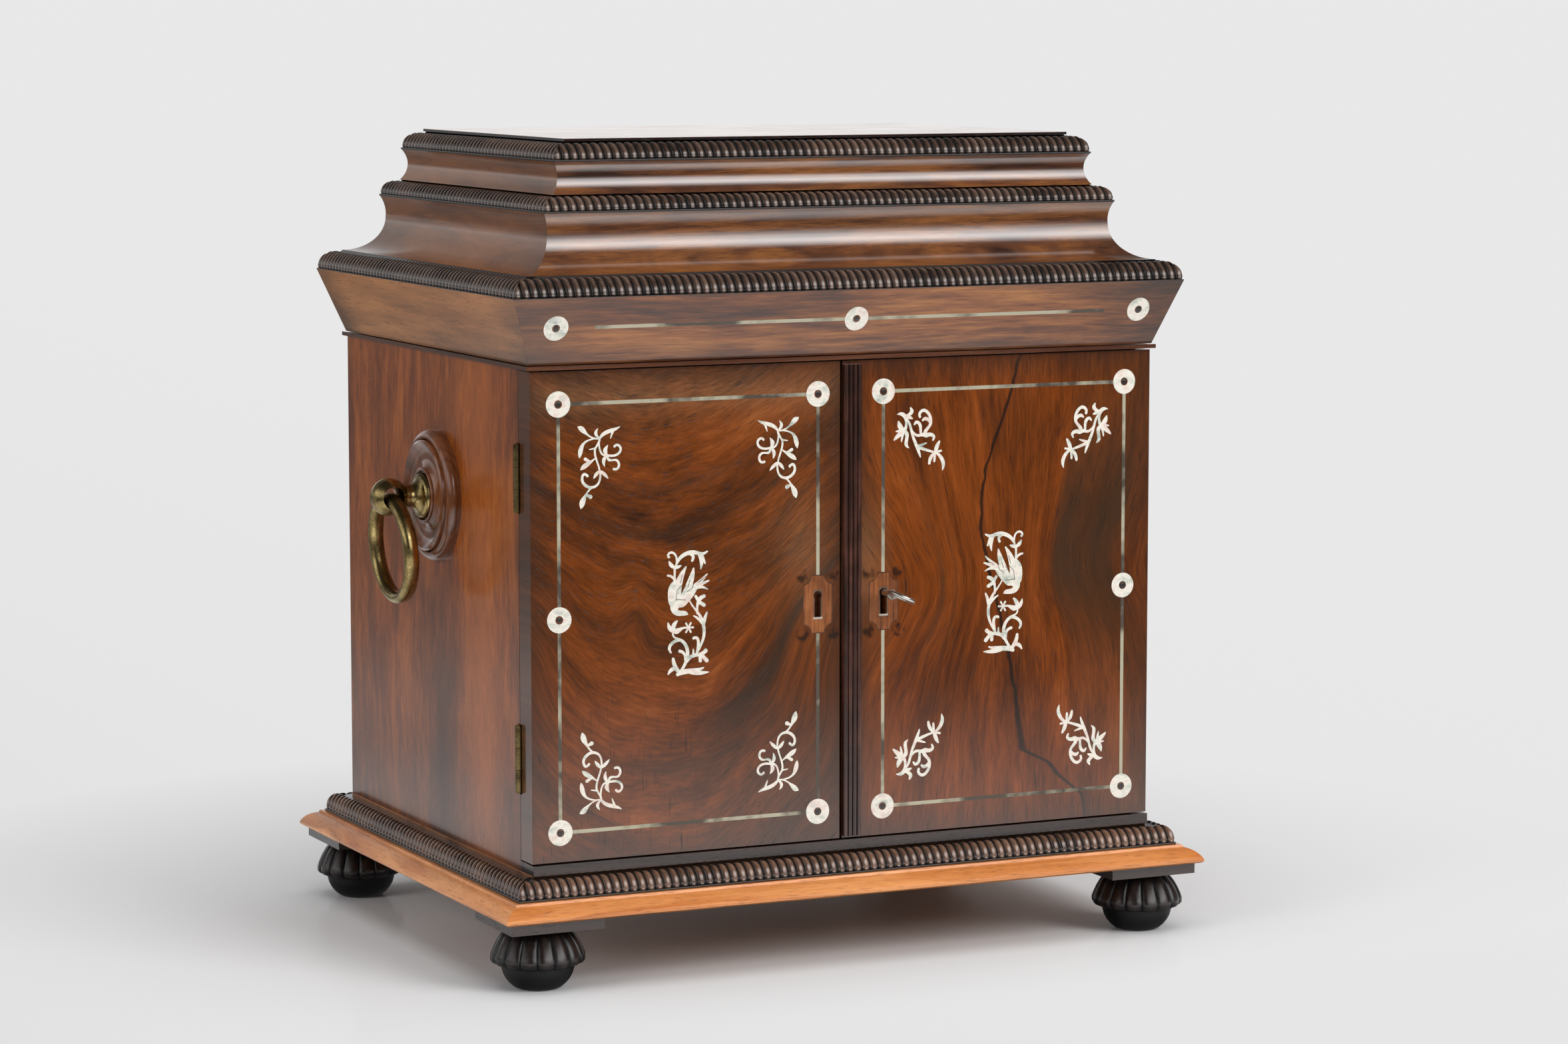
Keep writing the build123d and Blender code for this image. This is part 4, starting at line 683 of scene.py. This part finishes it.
def make_object(name, bm):
    """Turns a finished bmesh into a smooth-shaded object in the scene."""
    mesh = bpy.data.meshes.new(name)
    for face in bm.faces:
        face.smooth = True
    bm.to_mesh(mesh)
    bm.free()
    made = bpy.data.objects.new(name, mesh)
    bpy.context.scene.collection.objects.link(made)
    return made


def add_piece(name, bm, material, body, *replaced):
    """Adds a piece with the given material in its slot, and says what it rides on and stands for."""
    piece = make_object(name, bm)
    piece.data.materials.append(materials[material])
    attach(piece, body)
    if replaced:
        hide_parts(*replaced)


def join_bm(target, part):
    """Adds one bmesh to another."""
    carrier = bpy.data.meshes.new("carrier")
    part.to_mesh(carrier)
    part.free()
    target.from_mesh(carrier)
    bpy.data.meshes.remove(carrier)


# Gadroon mouldings: a quarter round carved into leaning lobes

LOBE_COLUMNS = 8
LOBE_ROWS = 9
SQUARE_ROWS = 5
LOBE_PITCH = 3.95 * MM
LOBE_RISE = 1.45 * MM
LOBE_LEAN = 1.9 * MM
LOBE_TIP = 0.62
LOBE_FOOT = 0.10
FOOT_NARROWING = 0.35


def lobe_step(share):
    """Spaces a lobe's columns by cosine, closer at its grooves than at its crest."""
    return 0.5 - 0.5 * math.cos(math.pi * share)


def lobe_height(across, up):
    """How far a lobe stands out of its groove, 0 to 1, with a round tip at the top."""
    tip = max(0.0, (up - LOBE_TIP) / (1 - LOBE_TIP))
    foot = max(0.0, (LOBE_FOOT - up) / LOBE_FOOT)
    room = 1 - tip * tip - FOOT_NARROWING * foot
    return math.sqrt(max(0.0, room - (2 * across - 1) ** 2))


def gadroon_run(half_length, distance, outer, inner, core, fillet):
    """One side of a carved ring, facing -Y, cut to its mitres. outer and inner are (offset, height).

    The ring runs in as far as core, and stands on a fillet.
    """
    long = half_length + outer[0]
    lobes = round(2 * long / LOBE_PITCH)
    foot = outer[1] + fillet
    width, tall = outer[0] - inner[0], inner[1] - foot
    rows = LOBE_ROWS + SQUARE_ROWS
    square = {
        LOBE_ROWS + 1: (core, inner[1]),
        LOBE_ROWS + 2: (core, outer[1]),
        LOBE_ROWS + 3: outer,
        LOBE_ROWS + 4: (outer[0], foot),
    }
    bm = bmesh.new()
    crest = bm.verts.layers.float.new("crest")
    bmesh.ops.create_grid(bm, x_segments=lobes * LOBE_COLUMNS, y_segments=rows, size=0.5)
    for vert in bm.verts:
        column = round((vert.co.x + 0.5) * lobes * LOBE_COLUMNS)
        row = round((vert.co.y + 0.5) * rows)
        lobe, step = divmod(column, LOBE_COLUMNS)
        across = lobe_step(step / LOBE_COLUMNS)
        run = ((lobe + across) / lobes * 2 - 1) * long
        if row in square:
            offset, height = square[row]
            vert.co = (run, -(distance + offset), height)
            # No crest: the carved wood paints these plain faces with the shade of its grooves.
            vert[crest] = 0.0
            continue
        up = row / LOBE_ROWS if row <= LOBE_ROWS else 0.0
        turn = up * math.pi / 2
        raised = lobe_height(across, up)
        normal = Vector((math.cos(turn) * tall, math.sin(turn) * width)).normalized()
        sunk = LOBE_RISE * (1 - raised)
        offset = inner[0] + width * math.cos(turn) - normal.x * sunk
        height = foot + tall * math.sin(turn) - normal.y * sunk
        vert.co = (run - LOBE_LEAN * up * up, -(distance + offset), max(height, foot))
        vert[crest] = raised
    bmesh.ops.remove_doubles(bm, verts=bm.verts, dist=MERGE)
    for side in (-1, 1):
        everything = bm.verts[:] + bm.edges[:] + bm.faces[:]
        corner = (side * half_length, -distance, 0)
        bmesh.ops.bisect_plane(bm, geom=everything, plane_co=corner, plane_no=(side, 1, 0), clear_outer=True)
    bmesh.ops.holes_fill(bm, edges=[edge for edge in bm.edges if edge.is_boundary])
    bmesh.ops.recalc_face_normals(bm, faces=bm.faces)
    return bm


def gadroon_ring(*profile):
    """Four runs, mitred at the corners."""
    ring = bmesh.new()
    ring.verts.layers.float.new("crest")
    for quarter in range(4):
        sizes = (HALF_W, HALF_D) if quarter % 2 == 0 else (HALF_D, HALF_W)
        run = gadroon_run(*sizes, *profile)
        bmesh.ops.rotate(run, verts=run.verts, matrix=Matrix.Rotation(quarter * math.pi / 2, 3, "Z"))
        join_bm(ring, run)
    return ring


def gadroons():
    rings = (
        ("base", "base_gadroon", "body", "base_carved", (10.2, 39.4), (4.0, 48.5), -1.0, 0.9),
        ("lower", "lid_lower_gadroon", "lid", "carved", (11.0, 295.5), (2.5, 304.5), 1.5, 0.3),
        ("middle", "lid_middle_gadroon", "lid", "carved", (-12.0, 330.0), (-19.2, 337.5), -20.2, 0.8),
        ("top", "lid_top_gadroon", "lid", "carved", (-19.9, 351.5), (-28.0, 359.8), -29.0, 0.8),
    )
    for level, node, body, material, outer, inner, core, fillet in rings:
        ring = gadroon_ring(Vector(outer) * MM, Vector(inner) * MM, core * MM, fillet * MM)
        add_piece(f"carved_{level}_gadroon", ring, material, body, node)


# Dark mastic in the holes of the pearl discs, in millimetres

DISC_HOLE_R = 1.8
MASTIC_GAP = 0.02
MASTIC_DOME = 0.25
DISC_ROWS = (250.0, 158.0, 66.3)
DISC_OUTER = 137.0
DISC_INNER = {"left": -15.2, "right": 16.5}
DISC_FACE = -112.7
FRIEZE_DISCS = (-140.3, 0.3, 140.3)
FRIEZE_DISC_AT = (-119.03, 282.77)
FRIEZE_TILT = 20.1


def mastic_fills(name, spots, tilt, body):
    """Shallow domes at (x, y, z), facing -Y and tipped down by tilt."""
    fills = bmesh.new()
    for spot in spots:
        dome = bmesh.new()
        radius = (DISC_HOLE_R - MASTIC_GAP) * MM
        bmesh.ops.create_uvsphere(dome, u_segments=20, v_segments=10, radius=radius)
        bmesh.ops.scale(dome, verts=dome.verts, vec=(1, MASTIC_DOME, 1))
        bmesh.ops.rotate(dome, verts=dome.verts, matrix=Matrix.Rotation(math.radians(tilt), 3, "X"))
        bmesh.ops.translate(dome, verts=dome.verts, vec=Vector(spot) * MM)
        join_bm(fills, dome)
    add_piece(name, fills, "mastic", body)


def disc_fills():
    top, middle, bottom = DISC_ROWS
    for side, turn in (("left", -1), ("right", 1)):
        inner, outer = DISC_INNER[side], turn * DISC_OUTER
        places = ((outer, top), (outer, middle), (outer, bottom), (inner, top), (inner, bottom))
        mastic_fills(f"{side}_disc_fills", [(x, DISC_FACE, z) for x, z in places], 0, f"{side}_door_panel")
    mastic_fills("frieze_disc_fills", [(x, *FRIEZE_DISC_AT) for x in FRIEZE_DISCS], FRIEZE_TILT, "lid")


# Feet: a lobed cap over a plain bowl, as (radius, height) in millimetres

FOOT_X = 0.147
FOOT_Y = 0.111
FOOT_LOBES = 16
FOOT_COLUMNS = 10
FOOT_TOP = 26.8
FOOT_CAP = (
    (0.0, FOOT_TOP), (11.6, FOOT_TOP), (14.6, 24.9), (16.8, 22.2), (18.5, 19.3), (19.8, 16.5),
    (20.6, 14.2), (20.5, 12.5), (19.6, 11.4), (17.8, 10.7), (16.1, 10.5),
)
FOOT_BOWL = (
    (15.8, 10.0), (15.6, 8.6), (15.0, 6.4), (13.9, 4.3), (12.5, 2.5), (10.8, 1.0),
    (8.9, 0.15), (8.4, 0.0), (0.0, 0.0),
)
CAP_BOTTOM = 10.3
CAP_LIP = 10.8
CAP_TALL = 17
SCALLOP = (11, 15)
SCALLOP_LIFT = 1.5 * MM
PAST_GROOVE = 0.0001


def groove_depth(height):
    """How deep the grooves between a foot's lobes are, in millimetres."""
    if height < CAP_LIP:
        return 0.3
    return 0.55 + 1.35 * math.sin(math.pi * min(1.0, (FOOT_TOP - height) / CAP_TALL))


def carved_foot(x, y):
    bm = bmesh.new()
    crest = bm.verts.layers.float.new("crest")
    outline = [bm.verts.new((radius * MM, 0, height * MM)) for radius, height in FOOT_CAP + FOOT_BOWL]
    edges = [bm.edges.new(pair) for pair in zip(outline, outline[1:])]
    bmesh.ops.spin(
        bm, geom=outline + edges, axis=(0, 0, 1), cent=(0, 0, 0), angle=2 * math.pi,
        steps=FOOT_LOBES * FOOT_COLUMNS, use_merge=True,
    )
    bmesh.ops.remove_doubles(bm, verts=bm.verts, dist=MERGE)
    bmesh.ops.recalc_face_normals(bm, faces=bm.faces)
    for vert in bm.verts:
        radius = math.hypot(vert.co.x, vert.co.y)
        height = vert.co.z / MM
        if radius < MM or height < CAP_BOTTOM:
            # Half a crest: the plain bowl takes about half of the painted groove shade.
            vert[crest] = 0.5
            continue
        turn = math.atan2(vert.co.y, vert.co.x) / (2 * math.pi) * FOOT_LOBES
        lobe, share = divmod(turn + PAST_GROOVE, 1.0)
        raised = math.sin(math.pi * share) ** 0.7
        radius -= groove_depth(height) * MM * (1 - raised)
        angle = (lobe + lobe_step(share)) * 2 * math.pi / FOOT_LOBES
        lift = SCALLOP_LIFT * (1 - raised) if SCALLOP[0] < height < SCALLOP[1] else 0.0
        vert.co = (radius * math.cos(angle), radius * math.sin(angle), vert.co.z + lift)
        vert[crest] = raised
    bmesh.ops.translate(bm, verts=bm.verts, vec=(x, y, 0))
    return bm


def feet():
    for across, x in (("left", -FOOT_X), ("right", FOOT_X)):
        for along, y in (("front", -FOOT_Y), ("back", FOOT_Y)):
            node = f"foot_{along}_{across}"
            add_piece(f"carved_{node}", carved_foot(x, y), "foot", "body", node)


# Room

FLOOR_HALF_WIDE = 6
FLOOR_FRONT = -4.0
FLOOR_BACK = 2.5
WALL_CURVE = 1.5
WALL_TALL = 4
WALL_STEPS = 24
BASE_HALF_W = 0.17
BASE_HALF_D = 0.13
LAMP_AIM = (0, 0, 0.18)
AMBIENT = 0.42


def pale_floor():
    """A matt floor that takes the cabinet's shadow, and a glow further off with painted shade on its left.

    What shines back from polish is a glow of its own: near is the floor round the cabinet, with a painted
    shadow under it, wall is the backdrop, and behind is the floor between the two.
    """
    shader = Shader("pale_floor")
    patch = shader.noise(shader.place, 1.3)
    colour = shader.mix(tone("cbcbcc"), tone("cfcfcf"), patch)
    matt = shader.node("ShaderNodeBsdfDiffuse", {}, {"Color": colour})
    sheen = shader.node("ShaderNodeBsdfGlossy", {}, {"Color": (1.0, 1.0, 1.0, 1.0), "Roughness": 0.16})
    lit = shader.node("ShaderNodeMixShader", {}, {0: 0.05, 1: matt, 2: sheen})
    rays = shader.node("ShaderNodeLightPath", {}, {})
    mirrored = rays.out("Is Glossy Ray")
    away = (shader.x * shader.x + shader.y * shader.y).root()
    # Under the cabinet the mirrored glow is dimmed: a painted shadow in what the polish reflects.
    outside = (shader.x.absolute() - BASE_HALF_W).most(shader.y.absolute() - BASE_HALF_D).step(-0.02, 0.08)
    front = 1 - shader.y.step(-0.16, -0.06)
    near = (1 - away.step(0.42, 0.92)) * outside * (front * 0.8 + 0.7)
    wall = shader.z.step(0.15, 0.50) * (0.78 - shader.z.step(1.2, 2.2) * 0.7)
    wall = (wall + shader.z.bell(0.45, 0.25) * 0.50) * (shader.x.step(-1.3, 0.0) * 0.4 + 0.6)
    behind = shader.y.step(-0.2, 0.6) * 0.14 + shader.y.bell(0.65, 0.35) * 0.34
    level = near.most(wall).most(behind)
    # The far floor the camera sees is a glow, with painted shade that darkens it towards the left.
    seen = 0.81 - shader.x.bell(-0.8, 0.8) * (1 - shader.z.step(0.0, 0.3)) * 0.10
    glow = shader.node("ShaderNodeEmission", {}, {"Color": level * mirrored + (1 - mirrored) * seen})
    open_floor = away.step(0.20, 0.48).most((shader.y * -1).step(0.13, 0.22))
    share = mirrored.most(rays.out("Is Camera Ray") * open_floor)
    return shader.end(shader.node("ShaderNodeMixShader", {}, {0: share, 1: lit, 2: glow}))


def new_verts(swept):
    return [item for item in swept["geom"] if isinstance(item, bmesh.types.BMVert)]


def floor():
    """A floor that curves up into a wall far behind."""
    bm = bmesh.new()
    front = [bm.verts.new((x, FLOOR_FRONT, 0)) for x in (-FLOOR_HALF_WIDE, FLOOR_HALF_WIDE)]
    back = new_verts(bmesh.ops.extrude_edge_only(bm, edges=[bm.edges.new(front)]))
    bmesh.ops.translate(bm, verts=back, vec=(0, FLOOR_BACK - FLOOR_FRONT, 0))
    edge = [edge for edge in bm.edges if set(edge.verts) == set(back)]
    centre = (0, FLOOR_BACK, WALL_CURVE)
    bmesh.ops.spin(bm, geom=back + edge, cent=centre, axis=(1, 0, 0), angle=math.pi / 2, steps=WALL_STEPS)
    top = [vert for vert in bm.verts if vert.co.z > WALL_CURVE - 0.01]
    edge = [edge for edge in bm.edges if all(vert in top for vert in edge.verts)]
    wall = new_verts(bmesh.ops.extrude_edge_only(bm, edges=edge))
    bmesh.ops.translate(bm, verts=wall, vec=(0, 0, WALL_TALL))
    backdrop = make_object("floor", bm)
    backdrop.data.materials.append(pale_floor())


def place_in_scene(name, data, at):
    holder = bpy.data.objects.new(name, data)
    holder.location = at
    bpy.context.scene.collection.objects.link(holder)
    return holder


def lamp(name, at, size, power):
    """A soft lamp that gives light only: what shines back from polish is in the room itself."""
    light = bpy.data.lights.new(name, "AREA")
    light.shape = "RECTANGLE"
    light.size, light.size_y = size
    light.energy = power
    holder = place_in_scene(name, light, at)
    holder.rotation_euler = (Vector(LAMP_AIM) - Vector(at)).to_track_quat("-Z", "Y").to_euler()
    holder.visible_glossy = False


def room_light():
    """Even light and soft lamps, and for polish a window in front and a paler one at the left, in the dark.

    tall is the window's brightness by height, and middle fills it out straight opposite the camera.
    """
    room = Shader("room", bpy.data.worlds, "Generated")
    rays = room.node("ShaderNodeLightPath", {}, {})
    facing = (room.x * 0.45 - room.y * 0.89) / (room.x * room.x + room.y * room.y + 0.0001).root()
    tall = room.z.step(0.0, 0.12) * 1.6 + room.z.step(0.28, 0.40) * 2.6
    middle = facing.step(0.955, 0.985) * room.z.step(0.10, 0.20) * (1 - room.z.step(0.30, 0.40)) * 1.2
    window = (facing.step(0.74, 0.88) * tall + middle) * (1 - room.z.step(0.46, 0.70))
    left = (room.x * -1).step(0.60, 0.85) * room.z.step(0.0, 0.2) * (1 - room.z.step(0.4, 0.7)) * 1.2
    mirrored = rays.out("Is Glossy Ray") * (window + left - 0.38)
    level = mirrored + rays.out("Is Camera Ray") * 0.39 + AMBIENT
    light = room.node("ShaderNodeBackground", {}, {"Color": level, "Strength": 1.0})
    bpy.context.scene.world = room.end(light, "ShaderNodeOutputWorld")
    lamp("key_softbox", (1.05, -2.05, 1.45), (1.3, 1.3), 50)
    lamp("left_softbox", (-2.2, -0.7, 0.85), (0.9, 1.2), 21)
    lamp("top_softbox", (0.0, -0.3, 2.3), (2.2, 2.2), 31)


def camera():
    data = bpy.data.cameras.new("camera")
    data.sensor_width = SENSOR_MM
    data.sensor_fit = "HORIZONTAL"
    data.lens = SENSOR_MM * FOCAL_PIXELS / PHOTO_WIDTH
    data.clip_start = 0.05
    holder = place_in_scene("camera", data, CAMERA_AT)
    holder.rotation_euler = (math.radians(90 - CAMERA_DOWN), 0, math.radians(-CAMERA_TURN))
    bpy.context.scene.camera = holder


dress_frame()
gadroons()
feet()
disc_fills()
floor()
room_light()
camera()
bpy.context.scene.view_settings.view_transform = "Standard"
